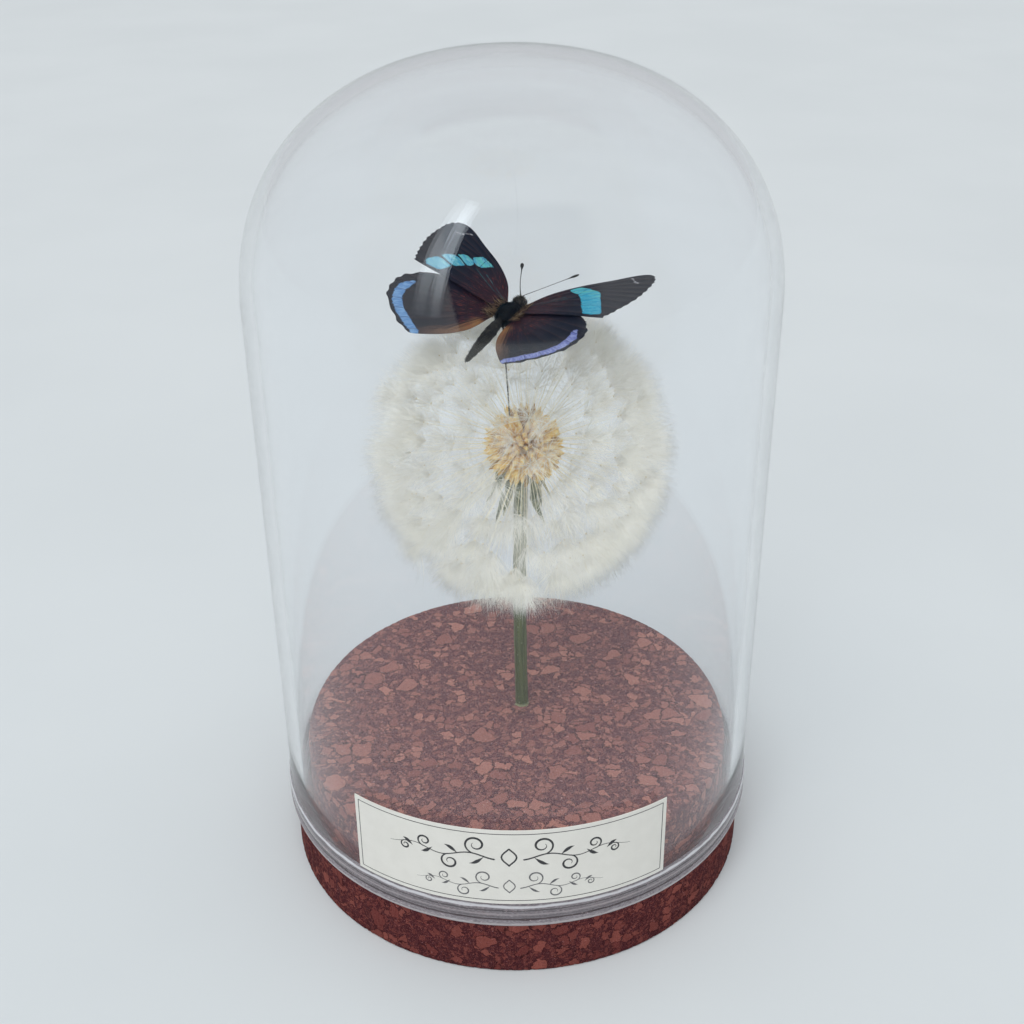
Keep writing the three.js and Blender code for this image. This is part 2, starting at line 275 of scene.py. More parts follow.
def new_look(name, **values):
    """A new material. The values go on the sockets of its Principled shader."""
    look = bpy.data.materials.new(name)
    look.use_nodes = True
    shader = look.node_tree.nodes["Principled BSDF"]
    for socket, value in values.items():
        shader.inputs[socket.replace("_", " ")].default_value = value
    return look, look.node_tree, shader


def paint(tree, shader, colour):
    tree.links.new(colour, shader.inputs["Base Color"])


def set_bump(tree, shader, height, distance, strength=1.0):
    inputs = {"Height": height, "Distance": distance * MM, "Strength": strength}
    bump = node(tree, "ShaderNodeBump", inputs)
    tree.links.new(bump.outputs["Normal"], shader.inputs["Normal"])


def new_group(name, inputs, outputs):
    """An empty node group, with its named inputs and outputs, and its two end nodes."""
    tree = bpy.data.node_groups.new(name, "ShaderNodeTree")
    for socket, kind, value in inputs:
        made = tree.interface.new_socket(socket, in_out="INPUT", socket_type=kind)
        if value is not None:
            made.default_value = value
    for socket in outputs:
        tree.interface.new_socket(socket, in_out="OUTPUT", socket_type="NodeSocketFloat")
    return tree, tree.nodes.new("NodeGroupInput"), tree.nodes.new("NodeGroupOutput")


# %% [markdown]
# ## Mottle, an effect that most materials share
#
# Dried plants, paper, wings and stone all vary in two sizes at once: soft patches and fine grain. That is
# one node group. Its Stretch input squeezes the pattern along an axis, which turns patches into fibres.

# %% Node group: mottle
mottle, ends_in, ends_out = new_group(
    "mottle",
    [
        ("Vector", "NodeSocketVector", None),
        ("Stretch", "NodeSocketVector", (1.0, 1.0, 1.0)),
        ("Scale", "NodeSocketFloat", 1.0),
    ],
    ["Patches", "Grain"],
)
stretched = vector_maths(mottle, "MULTIPLY", ends_in.outputs["Vector"], ends_in.outputs["Stretch"])
for output, times, detail in (("Patches", 1.0, 3.0), ("Grain", 7.0, 2.0)):
    scale = maths(mottle, "MULTIPLY", ends_in.outputs["Scale"], times)
    noise = node(mottle, "ShaderNodeTexNoise", {"Vector": stretched, "Scale": scale, "Detail": detail})
    mottle.links.new(noise.outputs[0], ends_out.inputs[output])
print("group", mottle.name, "has", len(mottle.nodes), "nodes")


def add_mottle(tree, vector, scale, stretch=(1.0, 1.0, 1.0)):
    inputs = {"Vector": vector, "Scale": scale, "Stretch": stretch}
    made = node(tree, "ShaderNodeGroup", inputs, node_tree=mottle)
    return made.outputs["Patches"], made.outputs["Grain"]


def mottled_look(name, scale, dark, light, low=0.35, high=0.65, stretch=(1.0, 1.0, 1.0), **values):
    """A new look whose patches run from a dark tone to a light one, and the nodes to build on."""
    look, tree, shader = new_look(name, **values)
    place = object_millimetres(tree)
    patches, grain = add_mottle(tree, place, scale, stretch)
    colour = blend(tree, ramp(tree, patches, low, high), dark, light)
    paint(tree, shader, colour)
    return look, tree, shader, place, grain, colour


# %% [markdown]
# ## Stone: chips in a dark red binder
#
# The base is agglomerate: crushed pinkish-brown stone in a wine-red binder, cut and left satin. Cells of
# a Voronoi pattern have straight sides, as crushed stone has. A group turns a share of the cells into
# chips and leaves the rest as binder, and the material uses it at five sizes, from chips to grit.

# %% Node group: stone chips
chips, ends_in, ends_out = new_group(
    "stone_chips",
    [
        ("Vector", "NodeSocketVector", None),
        ("Scale", "NodeSocketFloat", 1.0),
        ("Share", "NodeSocketFloat", 0.5),
    ],
    ["Mask", "Tone", "Rim"],
)
place = {"Vector": ends_in.outputs["Vector"], "Scale": ends_in.outputs["Scale"]}
cells = node(chips, "ShaderNodeTexVoronoi", place)
borders = node(chips, "ShaderNodeTexVoronoi", place, feature="DISTANCE_TO_EDGE")
lots = node(chips, "ShaderNodeSeparateColor", {"Color": cells.outputs["Color"]})
chosen = maths(chips, "LESS_THAN", lots.outputs["Red"], ends_in.outputs["Share"])
inside = ramp(chips, borders.outputs["Distance"], 0.05, 0.09)
near_border = ramp(chips, borders.outputs["Distance"], 0.10, 0.04)
chips.links.new(maths(chips, "MULTIPLY", chosen, inside), ends_out.inputs["Mask"])
chips.links.new(lots.outputs["Green"], ends_out.inputs["Tone"])
chips.links.new(maths(chips, "MULTIPLY", chosen, near_border), ends_out.inputs["Rim"])

# %% Look: stone
stone_look, tree, shader = new_look("red_agglomerate", Roughness=0.5, Specular_IOR_Level=0.02)
place = object_millimetres(tree)
patches, grain = add_mottle(tree, place, 0.5)
warped = place
for scale, reach in ((0.45, 1.6), (1.3, 1.0), (4.5, 0.3)):
    inputs = {"Vector": place, "Scale": scale, "Detail": 2.0}
    push = node(tree, "ShaderNodeTexNoise", inputs).outputs["Color"]
    push = vector_maths(tree, "SUBTRACT", push, (0.5, 0.5, 0.5))
    push = vector_maths(tree, "MULTIPLY", push, (reach, reach, reach))
    warped = vector_maths(tree, "ADD", warped, push)
colour = blend(tree, ramp(tree, grain, 0.35, 0.65), (0.056, 0.019, 0.026, 1), (0.105, 0.040, 0.046, 1))
grit = node(tree, "ShaderNodeTexNoise", {"Vector": warped, "Scale": 5.5, "Detail": 1.0}).outputs[0]
colour = cover(tree, colour, (0.26, 0.135, 0.13, 1), grit, 0.52, 0.66, 0.5)
# Cells per millimetre, share of them that are chips, strength, and the outline's strength.
CHIP_SIZES = (
    (2.6, 0.26, 0.5, 0.0),
    (1.5, 0.24, 0.55, 0.15),
    (0.95, 0.24, 0.62, 0.35),
    (0.52, 0.24, 0.82, 0.55),
    (0.30, 0.14, 0.9, 0.6),
)
tops = []
for scale, share, strength, outline in CHIP_SIZES:
    inputs = {"Vector": warped, "Scale": scale, "Share": share}
    chip = node(tree, "ShaderNodeGroup", inputs, node_tree=chips)
    tone = blend(tree, chip.outputs["Tone"], (0.20, 0.078, 0.070, 1), (0.40, 0.19, 0.145, 1))
    tone = cover(tree, tone, (0.115, 0.045, 0.045, 1), grain, 0.48, 0.68, 0.4)
    tone = cover(tree, tone, (0.42, 0.20, 0.16, 1), grit, 0.55, 0.7, 0.3)
    rim = maths(tree, "MULTIPLY", chip.outputs["Rim"], outline)
    colour = blend(tree, rim, colour, (0.030, 0.009, 0.012, 1))
    mask = maths(tree, "MULTIPLY", chip.outputs["Mask"], strength)
    colour = blend(tree, mask, colour, tone)
    tops.append(mask)
glints = node(tree, "ShaderNodeTexVoronoi", {"Vector": warped, "Scale": 2.2})
lots = node(tree, "ShaderNodeSeparateColor", {"Color": glints.outputs["Color"]})
chance = maths(tree, "GREATER_THAN", lots.outputs["Blue"], 0.6)
glint = maths(tree, "MULTIPLY", chance, ramp(tree, glints.outputs["Distance"], 0.2, 0.1))
colour = blend(tree, maths(tree, "MULTIPLY", glint, 0.7), colour, (0.62, 0.46, 0.44, 1))
dust = node(tree, "ShaderNodeTexNoise", {"Vector": place, "Scale": 9.0, "Detail": 1.0}).outputs[0]
colour = cover(tree, colour, (0.40, 0.27, 0.27, 1), dust, 0.58, 0.7, 0.45)
colour = cover(tree, colour, (0.045, 0.015, 0.02, 1), dust, 0.42, 0.3, 0.45)
# Painted light and shade: the upper faces are painted lighter, the side below the ledge darker and
# redder.
height = node(tree, "ShaderNodeSeparateXYZ", {"Vector": place}).outputs["Z"]
lit_top_share = ramp(tree, height, 11.2, 12.4)
painted_light_and_shade = blend(tree, lit_top_share, (0.71, 0.45, 0.46, 1), (1.23, 1.17, 1.19, 1))
colour = vector_maths(tree, "MULTIPLY", colour, painted_light_and_shade)
paint(tree, shader, colour)
tree.links.new(maths(tree, "MULTIPLY_ADD", grain, 0.2, 0.62), shader.inputs["Roughness"])
relief = maths(tree, "MULTIPLY_ADD", maths(tree, "MAXIMUM", tops[2], tops[3]), 0.6, grain)
set_bump(tree, shader, relief, 0.04, 0.6)
print("stone has", len(CHIP_SIZES), "sizes of chip")

# %% [markdown]
# ## Stone: the shape
#
# The disc has a ledge for the dome's rim and a raised plug inside it. It starts as a cylinder, its top
# face is inset and pulled up, and the edges are bevelled. Cut agglomerate loses grains along its edges,
# so the points on the bevels are pushed about a little, which needs many sides on the cylinder.

# %% Stone base
BASE_RADIUS = 44.3
LEDGE_HEIGHT = 11.6
PLUG_RADIUS = 41.1
STONE_SIDES = 600

bpy.ops.mesh.primitive_cylinder_add(
    vertices=STONE_SIDES, radius=BASE_RADIUS * MM, depth=LEDGE_HEIGHT * MM,
    location=(0, 0, LEDGE_HEIGHT / 2 * MM),
)
stone = bpy.context.object
bpy.ops.object.transform_apply(location=True)
start_editing(stone)
pick(stone, "FACE", lambda face: face.normal.z > 0.9)
bpy.ops.mesh.inset(thickness=(BASE_RADIUS - PLUG_RADIUS) * MM)
bpy.ops.mesh.extrude_region_move(
    TRANSFORM_OT_translate={"value": (0, 0, (PLUG_TOP - LEDGE_HEIGHT) * MM)}
)


def outer_corner(edge):
    level = abs(edge.verts[0].co.z - edge.verts[1].co.z) < 0.01 * MM
    return level and edge.is_manifold and edge.calc_face_angle_signed() > 1.0


pick(stone, "EDGE", outer_corner)
bpy.ops.mesh.bevel(offset=0.5 * MM, segments=4, affect="EDGES")
pick(stone, "FACE", lambda face: abs(face.normal.z) > 0.99 and len(face.verts) > 100)
for ring in (0.5, 1.0, 6.0, 12.0, 14.0):
    bpy.ops.mesh.inset(thickness=ring * MM)
bpy.ops.mesh.poke()
stop_editing()

points = points_of(stone)
radius = np.hypot(points[:, 0], points[:, 1]) / MM
height = points[:, 2] / MM
on_edge = np.zeros(len(points), bool)
for edge_radius, edge_height in ((BASE_RADIUS, LEDGE_HEIGHT), (PLUG_RADIUS, PLUG_TOP), (BASE_RADIUS, 0)):
    on_edge |= (np.abs(radius - edge_radius) < 0.7) & (np.abs(height - edge_height) < 0.7)
on_edge &= height > 0.01
loss = dice.uniform(0, 1, len(points)) ** 3 * 0.22 * on_edge
points[:, :2] *= (1 - loss / np.maximum(radius, 1))[:, None]
points[:, 2] -= 0.6 * loss * MM * (height > 0.6)
move_points(stone, points)
finish_piece(stone, "agglomerate_base", [stone_look], "stone", "stone_base", smooth=35)

# %% [markdown]
# ## Glass: shader and shape
#
# Clear glass is a Principled shader with full transmission. Lamps can't find their way through bent
# glass in a path tracer, so rays that go to the lamps pass through a Transparent shader instead, and what
# stands inside the dome is lit. The foot was melted round and has a material of its own: its milky grey
# and the bright and dark lines round it are painted reflection, and a height in a list gives each painted
# line its place and colour. The dome's outline is a straight wall under a superellipse cap, and both
# faces of the wall are one closed outline, spun round the axis.

# %% Look: dome glass
glass_look, tree, shader = new_look(
    "clear_glass", Base_Color=(0.985, 0.992, 1.0, 1), Roughness=0.0, IOR=1.47, Transmission_Weight=1.0
)


def let_light_through(tree, shader, tint, share=1.0):
    """A share of the rays to the lights, and of soft bounced ones, passes straight through."""
    ray = node(tree, "ShaderNodeLightPath")
    straight = maths(tree, "MAXIMUM", ray.outputs["Is Shadow Ray"], ray.outputs["Is Diffuse Ray"])
    straight = maths(tree, "MULTIPLY", straight, share)
    clear = node(tree, "ShaderNodeBsdfTransparent", {"Color": tint})
    mixed = node(tree, "ShaderNodeMixShader", {0: straight, 1: shader.outputs[0], 2: clear.outputs[0]})
    tree.links.new(mixed.outputs[0], tree.nodes["Material Output"].inputs["Surface"])


let_light_through(tree, shader, (0.96, 0.97, 0.98, 1))

# %% Look: melted rim
rim_look, tree, shader = new_look("melted_rim", Roughness=0.12, IOR=1.47, Transmission_Weight=0.35)
place = object_millimetres(tree)
patches, grain = add_mottle(tree, place, 0.3, (1.0, 1.0, 5.0))
height = node(tree, "ShaderNodeSeparateXYZ", {"Vector": place}).outputs["Z"]
height = maths(tree, "ADD", height, maths(tree, "MULTIPLY_ADD", patches, 0.5, -0.25))
# The foot's milky grey is painted reflection.
colour = blend(tree, ramp(tree, grain, 0.35, 0.65), (0.20, 0.18, 0.195, 1), (0.36, 0.335, 0.36, 1))
# Painted bright and dark lines of reflection that run round the rim: height, half width, colour.
RIM_REFLECTION_LINES = (
    (16.7, 0.34, (0.80, 0.81, 0.85, 1)),
    (15.9, 0.22, (0.12, 0.11, 0.12, 1)),
    (15.0, 0.25, (0.44, 0.40, 0.42, 1)),
    (14.4, 0.18, (0.16, 0.13, 0.14, 1)),
    (13.6, 0.30, (0.06, 0.04, 0.045, 1)),
    (12.5, 0.42, (0.50, 0.47, 0.48, 1)),
)
for middle, half, reflection_colour in RIM_REFLECTION_LINES:
    away = maths(tree, "ABSOLUTE", maths(tree, "SUBTRACT", height, middle))
    colour = blend(tree, ramp(tree, away, half, 0.3 * half), colour, reflection_colour)
bloom = maths(tree, "MULTIPLY", ramp(tree, grain, 0.6, 0.72), ramp(tree, patches, 0.48, 0.56))
colour = blend(tree, bloom, colour, (0.62, 0.50, 0.52, 1))
paint(tree, shader, colour)
set_bump(tree, shader, patches, 0.05, 0.5)
let_light_through(tree, shader, (0.8, 0.8, 0.82, 1))

# %% Glass dome
DOME_RADIUS = 45.0
GLASS_WALL = 2.2
CAP_HEIGHT = 39.5
CAP_EXPONENT = 2.24
SHOULDER = DOME_TOP - CAP_HEIGHT
# The melted rim, from the outer wall down and round to the inner wall: two soft beads with a groove.
RIM_PROFILE = [
    (45.0, 17.5), (45.12, 17.1), (45.35, 16.6), (45.4, 16.0), (45.38, 15.2), (45.3, 14.4), (45.08, 13.7),
    (45.2, 13.1), (45.38, 12.6), (45.2, 12.15), (44.7, 11.9), (43.9, 11.8), (43.2, 11.92), (42.86, 12.5),
    (42.8, 13.4),
]
RIM_TOP = 17.4


def cap_outline(radius, height, steps=40):
    """A quarter of a superellipse, from the shoulder up to the axis, as (radius, height) pairs."""
    for step in range(steps + 1):
        turn = math.pi / 2 * step / steps
        across = 0.0 if step == steps else math.cos(turn) ** (2 / CAP_EXPONENT)
        yield radius * across, SHOULDER + height * math.sin(turn) ** (2 / CAP_EXPONENT)


inside = DOME_RADIUS - GLASS_WALL
outline = [(DOME_RADIUS, SHOULDER - step * 8.0) for step in range(11, 0, -1)]
outline += list(cap_outline(DOME_RADIUS, CAP_HEIGHT))
outline += list(cap_outline(inside, CAP_HEIGHT - GLASS_WALL))[::-1]
outline += [(inside, SHOULDER - step * 8.0) for step in range(1, 12)]
outline += [tuple(point) for point in spline(RIM_PROFILE, 52)][::-1]
mesh = bpy.data.meshes.new("dome_outline")
corners = len(outline)
mesh.from_pydata(
    [(radius * MM, 0, height * MM) for radius, height in outline],
    [(i, (i + 1) % corners) for i in range(corners)],
    [],
)
dome = bpy.data.objects.new("dome", mesh)
bpy.context.scene.collection.objects.link(dome)
start_editing(dome)
bpy.ops.mesh.select_all(action="SELECT")
bpy.ops.mesh.spin(steps=192, angle=2 * math.pi, center=(0, 0, 0), axis=(0, 0, 1))
bpy.ops.mesh.select_all(action="SELECT")
bpy.ops.mesh.remove_doubles(threshold=0.004 * MM)
bpy.ops.mesh.normals_make_consistent(inside=False)
dome.data.materials.append(glass_look)
dome.data.materials.append(rim_look)
pick(dome, "FACE", lambda face: face.calc_center_median().z < RIM_TOP * MM)
dome.active_material_index = 1
bpy.ops.object.material_slot_assign()
stop_editing()
finish_piece(dome, "clear_dome", [glass_look], "dome_glass", "glass_dome", smooth=40)

# %% [markdown]
# ## Label: paper wrapped on the glass
#
# The label is drawn flat first: x runs along the paper and z up it. A last step bends everything flat
# round the dome. The ink stands a hair's breadth proud of the paper: a hairline frame, and two rows of a
# curling vine in place of writing.

# %% Label helpers
LABEL_HEIGHT = 16.6
LABEL_BOTTOM = 17.5
LABEL_FROM = math.radians(-128.5)
LABEL_TO = math.radians(-55.3)
PAPER_FACE = DOME_RADIUS + 0.3
LABEL_LENGTH = PAPER_FACE * (LABEL_TO - LABEL_FROM)


def wrap_on_glass(piece):
    """Bends a flat piece round the dome: x along the paper, y off the paper towards the glass, z up."""
    points = points_of(piece) / MM
    turn = (LABEL_FROM + LABEL_TO) / 2 + points[:, 0] / PAPER_FACE
    radius = PAPER_FACE - points[:, 1]
    wrapped = np.stack([radius * np.cos(turn), radius * np.sin(turn), points[:, 2]], axis=1)
    move_points(piece, wrapped * MM)


def ink_look(name, colour):
    look, tree, shader = new_look(name, Roughness=0.6)
    patches, grain = add_mottle(tree, object_millimetres(tree), 1.5)
    pale = tuple(min(1.0, 2.2 * value) for value in colour[:3]) + (1,)
    tree.links.new(blend(tree, ramp(tree, grain, 0.45, 0.75), colour, pale), shader.inputs["Base Color"])
    return look


paper_look, tree, shader, place, grain, colour = mottled_look(
    "matt_paper", 0.35, (0.735, 0.72, 0.67, 1), (0.765, 0.75, 0.70, 1), 0.3, 0.7, Roughness=0.78,
    Specular_IOR_Level=0.35
)
fibres = add_mottle(tree, place, 2.0, (1.0, 1.0, 4.0))[1]
colour = cover(tree, colour, (0.66, 0.66, 0.60, 1), fibres, 0.62, 0.8)
paint(tree, shader, colour)
set_bump(tree, shader, fibres, 0.012, 0.6)
dark_ink = ink_look("dark_ink", (0.03, 0.03, 0.033, 1))
grey_ink = ink_look("grey_ink", (0.10, 0.10, 0.105, 1))
print(f"label {LABEL_LENGTH:.1f} x {LABEL_HEIGHT} mm")

# %% Label paper and frame
middle_height = LABEL_BOTTOM + LABEL_HEIGHT / 2
bpy.ops.mesh.primitive_grid_add(x_subdivisions=72, y_subdivisions=12, size=1)
paper = bpy.context.object
paper.rotation_euler.x = math.pi / 2
paper.scale = (LABEL_LENGTH * MM, LABEL_HEIGHT * MM, 1)
paper.location.z = middle_height * MM
bpy.ops.object.transform_apply(location=True, rotation=True, scale=True)
add_modifier(paper, "SOLIDIFY", thickness=0.16 * MM, offset=-1)
wrap_on_glass(paper)
finish_piece(paper, "paper_label", [paper_look], "label_paper", "label", smooth=40)

bpy.ops.mesh.primitive_plane_add(size=1)
hairline = bpy.context.object
hairline.rotation_euler.x = math.pi / 2
hairline.scale = ((LABEL_LENGTH - 1.5) * MM, (LABEL_HEIGHT - 1.5) * MM, 1)
hairline.location = (0, -0.02 * MM, middle_height * MM)
bpy.ops.object.transform_apply(location=True, rotation=True, scale=True)
start_editing(hairline)
bpy.ops.mesh.select_all(action="SELECT")
bpy.ops.mesh.inset(thickness=0.13 * MM)
bpy.ops.mesh.delete(type="FACE")
pick(hairline, "EDGE", lambda edge: abs(edge.verts[0].co.x - edge.verts[1].co.x) > LABEL_HEIGHT * MM)
bpy.ops.mesh.subdivide(number_cuts=70)
stop_editing()
add_modifier(hairline, "SOLIDIFY", thickness=0.03 * MM, offset=-1)
wrap_on_glass(hairline)
finish_piece(hairline, "label_frame_line", [dark_ink], "label_paper", "label")


# %% Label ornament
def pen_stroke(points, widths):
    """A stroke of ink on the flat label: a curve whose radius follows the pen's pressure."""
    curve = bpy.data.curves.new("stroke", "CURVE")
    curve.dimensions = "3D"
    curve.bevel_depth = 1.0
    curve.bevel_resolution = 1
    curve.use_fill_caps = True
    line = curve.splines.new("POLY")
    line.points.add(len(points) - 1)
    for point, (x, z), width in zip(line.points, points, widths):
        point.co = (x * MM, 0, z * MM, 1)
        point.radius = width / 2 * MM
    stroke = bpy.data.objects.new("stroke", curve)
    bpy.context.scene.collection.objects.link(stroke)
    select_only(stroke)
    bpy.ops.object.convert(target="MESH")
    return bpy.context.object


def pressed(count, thin, thick):
    """Pen widths that swell in the middle of a stroke and end in a point."""
    return [thin + (thick - thin) * abs(math.sin(math.pi * i / (count - 1))) ** 1.5 for i in range(count)]


def vine(x, size, centre_height):
    """Height of the ornament's waving stem."""
    return centre_height + 0.45 * size * math.sin(2 * math.pi * (x / size - 3.4) / 7.6)


def curl(side, x, size, radius, lean, centre_height, steps=44):
    """A curl that leaves the stem and rolls up into itself."""
    points = []
    for i in range(9):
        start = x - 2.6 * size * (1 - i / 9)
        points.append((side * start, vine(start, size, centre_height)))
    middle = vine(x, size, centre_height) + lean * radius
    for i in range(steps):
        along = i / (steps - 1)
        angle = math.pi * (2.7 * along - 0.5)
        reach = radius * (1 - 0.74 * along)
        points.append((side * (x + reach * math.cos(angle)), middle + lean * reach * math.sin(angle)))
    return points


def leaf(side, x, size, lean, centre_height):
    """A short leaf that stands off the stem."""
    low = vine(x, size, centre_height)
    points = []
    for i in range(12):
        rise = 1.25 * math.sin(0.5 * math.pi * i / 11)
        points.append((side * (x + 1.9 * size * i / 11), low + lean * size * rise))
    return points


def ornament(name, look, centre_height, size, thick):
    strokes = []
    for side in (-1, 1):
        reach = [(1.9 + 14.6 * i / 59) * size for i in range(60)]
        stem = [(side * x, vine(x, size, centre_height)) for x in reach]
        strokes.append(pen_stroke(stem, [thick * (0.75 - 0.6 * i / 59) for i in range(60)]))
        for x, radius, lean in ((4.4, 1.55, 1), (7.9, 1.3, -1), (11.4, 1.0, 1), (14.2, 0.7, -1)):
            row = curl(side, x * size, size, radius * size, lean, centre_height)
            strokes.append(pen_stroke(row, pressed(len(row), 0.2 * thick, thick * (0.6 + 0.25 * radius))))
            row = leaf(side, (x - 1.1) * size, size * (0.5 + 0.35 * radius), -lean, centre_height)
            strokes.append(pen_stroke(row, pressed(12, 0.1 * thick, 1.5 * thick)))
    turns = [2 * math.pi * i / 24 for i in range(25)]
    bud = [(size * math.sin(t) ** 3, centre_height + 1.5 * size * math.cos(t)) for t in turns]
    strokes.append(pen_stroke(bud, [0.7 * thick] * 25))
    select_only(*strokes)
    bpy.ops.object.join()
    drawing = bpy.context.object
    points = points_of(drawing)
    points[:, 1] = points[:, 1] * 0.25
    move_points(drawing, points)
    wrap_on_glass(drawing)
    finish_piece(drawing, name, [look], "label_paper", "label", smooth=60)


ornament("label_vine_large", dark_ink, LABEL_BOTTOM + 10.7, 1.3, 0.48)
ornament("label_vine_small", grey_ink, LABEL_BOTTOM + 4.1, 1.0, 0.33)

# %% [markdown]
# ## Round pieces that follow a path
#
# The stalk, the wire, the feelers, the legs and the veins are all round sections along a path. Each
# starts as a filled circle. The script extrudes its face once per step and turns and scales what was
# extruded to the next place on the path, so the ends are closed.


# %% Helper: sweep a circle along a path
def frames_along(path, radii, flatten=1.0):
    """A matrix for each point of a path, turned as little as possible from one to the next."""
    ways = []
    for i in range(len(path)):
        way = path[min(i + 1, len(path) - 1)] - path[max(i - 1, 0)]
        ways.append(way.normalized())
    turn = ways[0].to_track_quat("Z", "Y")
    frames = []
    for i, (place, radius) in enumerate(zip(path, radii)):
        if i:
            turn = ways[i - 1].rotation_difference(ways[i]) @ turn
        size = Matrix.Diagonal((radius * MM, radius * flatten * MM, radius * MM, 1))
        frames.append(Matrix.Translation(place * MM) @ turn.to_matrix().to_4x4() @ size)
    return frames


def sweep(path, radii, sides=12, flatten=1.0):
    """A closed round piece along a path, with a radius for each point, in millimetres."""
    frames = frames_along([Vector(point) for point in path], radii, flatten)
    bpy.ops.mesh.primitive_circle_add(vertices=sides, radius=1, fill_type="NGON")
    piece = bpy.context.object
    start_editing(piece)
    mesh = bmesh.from_edit_mesh(piece.data)
    for vertex in mesh.verts:
        vertex.co = frames[0] @ vertex.co
    for before, after in zip(frames, frames[1:]):
        bpy.ops.mesh.select_mode(type="FACE")
        bpy.ops.mesh.extrude_region_move()
        step = after @ before.inverted()
        mesh = bmesh.from_edit_mesh(piece.data)
        for vertex in mesh.verts:
            if vertex.select:
                vertex.co = step @ vertex.co
    bmesh.update_edit_mesh(piece.data)
    bpy.ops.mesh.select_all(action="SELECT")
    bpy.ops.mesh.normals_make_consistent(inside=False)
    stop_editing()
    return piece

# %% [markdown]
# ## Bristles
#
# Down, fur and frayed fibres are thousands of three-sided hairs that taper to a point. A curve object or
# a particle system could draw them, but neither leaves a mesh behind. So this helper works out all the
# hairs of a piece at once with arrays, and makes one mesh of closed, very light hairs.


# %% Helper: bristles
def unit(rows):
    return rows / np.maximum(np.linalg.norm(rows, axis=1, keepdims=True), 1e-9)


def sides_of(ways):
    """Two directions across each way, at right angles to it and to each other."""
    helper = np.where(np.abs(ways[:, 2:3]) < 0.9, [[0.0, 0.0, 1.0]], [[1.0, 0.0, 0.0]])
    across = unit(np.cross(ways, helper))
    return across, np.cross(ways, across)


def mesh_piece(name, points, triangles):
    """An object from an array of points in millimetres and an array of triangles."""
    mesh = bpy.data.meshes.new(name)
    mesh.vertices.add(len(points))
    mesh.vertices.foreach_set("co", (points * MM).astype(np.float32).ravel())
    mesh.loops.add(3 * len(triangles))
    mesh.loops.foreach_set("vertex_index", triangles.astype(np.int32).ravel())
    mesh.polygons.add(len(triangles))
    mesh.polygons.foreach_set("loop_start", np.arange(0, 3 * len(triangles), 3, dtype=np.int32))
    mesh.update(calc_edges=True)
    piece = bpy.data.objects.new(name, mesh)
    bpy.context.scene.collection.objects.link(piece)
    return piece


def set_attribute(piece, name, values, kind="FLOAT"):
    made = piece.data.attributes.new(name, kind, "POINT")
    made.data.foreach_set("value" if kind == "FLOAT" else "vector", values.astype(np.float32).ravel())


def bristles(name, roots, ways, lengths, bends, widths, rings=2, taper=0.7, limit=None):
    """Hairs from roots, along ways, ending off line by bends. limit may move the finished points."""
    across, other = sides_of(ways)
    count = len(roots)
    per_hair = 3 * rings + 1
    points = np.empty((count, per_hair, 3))
    for ring in range(rings):
        along = ring / rings
        middle = roots + ways * (lengths * along)[:, None] + bends * along**2
        for corner in range(3):
            turn = 2 * math.pi * corner / 3
            offset = across * math.cos(turn) + other * math.sin(turn)
            points[:, 3 * ring + corner] = middle + offset * (widths * (1 - taper * along) / 2)[:, None]
    points[:, -1] = roots + ways * lengths[:, None] + bends
    faces = [(0, 2, 1)]
    for ring in range(rings - 1):
        low = 3 * ring
        for corner in range(3):
            a, b = low + corner, low + (corner + 1) % 3
            faces += [(a, b, b + 3), (a, b + 3, a + 3)]
    low = 3 * (rings - 1)
    faces += [(low + corner, low + (corner + 1) % 3, per_hair - 1) for corner in range(3)]
    points = points.reshape(-1, 3)
    if limit is not None:
        points = limit(points)
    triangles = (np.array(faces)[None] + (per_hair * np.arange(count))[:, None, None]).reshape(-1, 3)
    piece = mesh_piece(name, points, triangles)
    set_attribute(piece, "tone", np.repeat(dice.uniform(0, 1, count), per_hair))
    heights = np.tile([ring / rings for ring in range(rings) for _ in range(3)] + [1.0], count)
    set_attribute(piece, "height", heights)
    return piece


# %% [markdown]
# ## Stalk
#
# The stalk of a dandelion is a smooth tube with fine ribs, green at the foot and bleached where it runs
# up through the down. It is cut off a little ragged where it enters the stone.

# %% Look: stalk
stalk_look, tree, shader = new_look("green_stalk", Roughness=0.48)
place = object_millimetres(tree)
patches, fibres = add_mottle(tree, place, 0.9, (1.0, 1.0, 0.06))
specks = node(tree, "ShaderNodeTexVoronoi", {"Vector": place, "Scale": 0.9}).outputs["Distance"]
height = node(tree, "ShaderNodeSeparateXYZ", {"Vector": place}).outputs["Z"]
colour = blend(tree, ramp(tree, patches, 0.35, 0.65), (0.053, 0.074, 0.021, 1), (0.108, 0.134, 0.043, 1))
colour = cover(tree, colour, (0.22, 0.26, 0.115, 1), fibres, 0.58, 0.8)
colour = cover(tree, colour, (0.42, 0.47, 0.30, 1), specks, 0.11, 0.06)
colour = cover(tree, colour, (0.40, 0.44, 0.26, 1), height, PLUG_TOP + 0.9, PLUG_TOP + 0.1)
colour = cover(tree, colour, (0.40, 0.40, 0.31, 1), height, 50.0, 62.0)
paint(tree, shader, colour)
set_bump(tree, shader, fibres, 0.05, 0.8)

# %% Stalk
CLOCK_CENTRE = np.array([1.3, 1.0, 82.0])
STEM_FOOT = np.array([1.1, 1.9, PLUG_TOP])
STEM_RADIUS = 1.2
STEM_BOW = 0.35

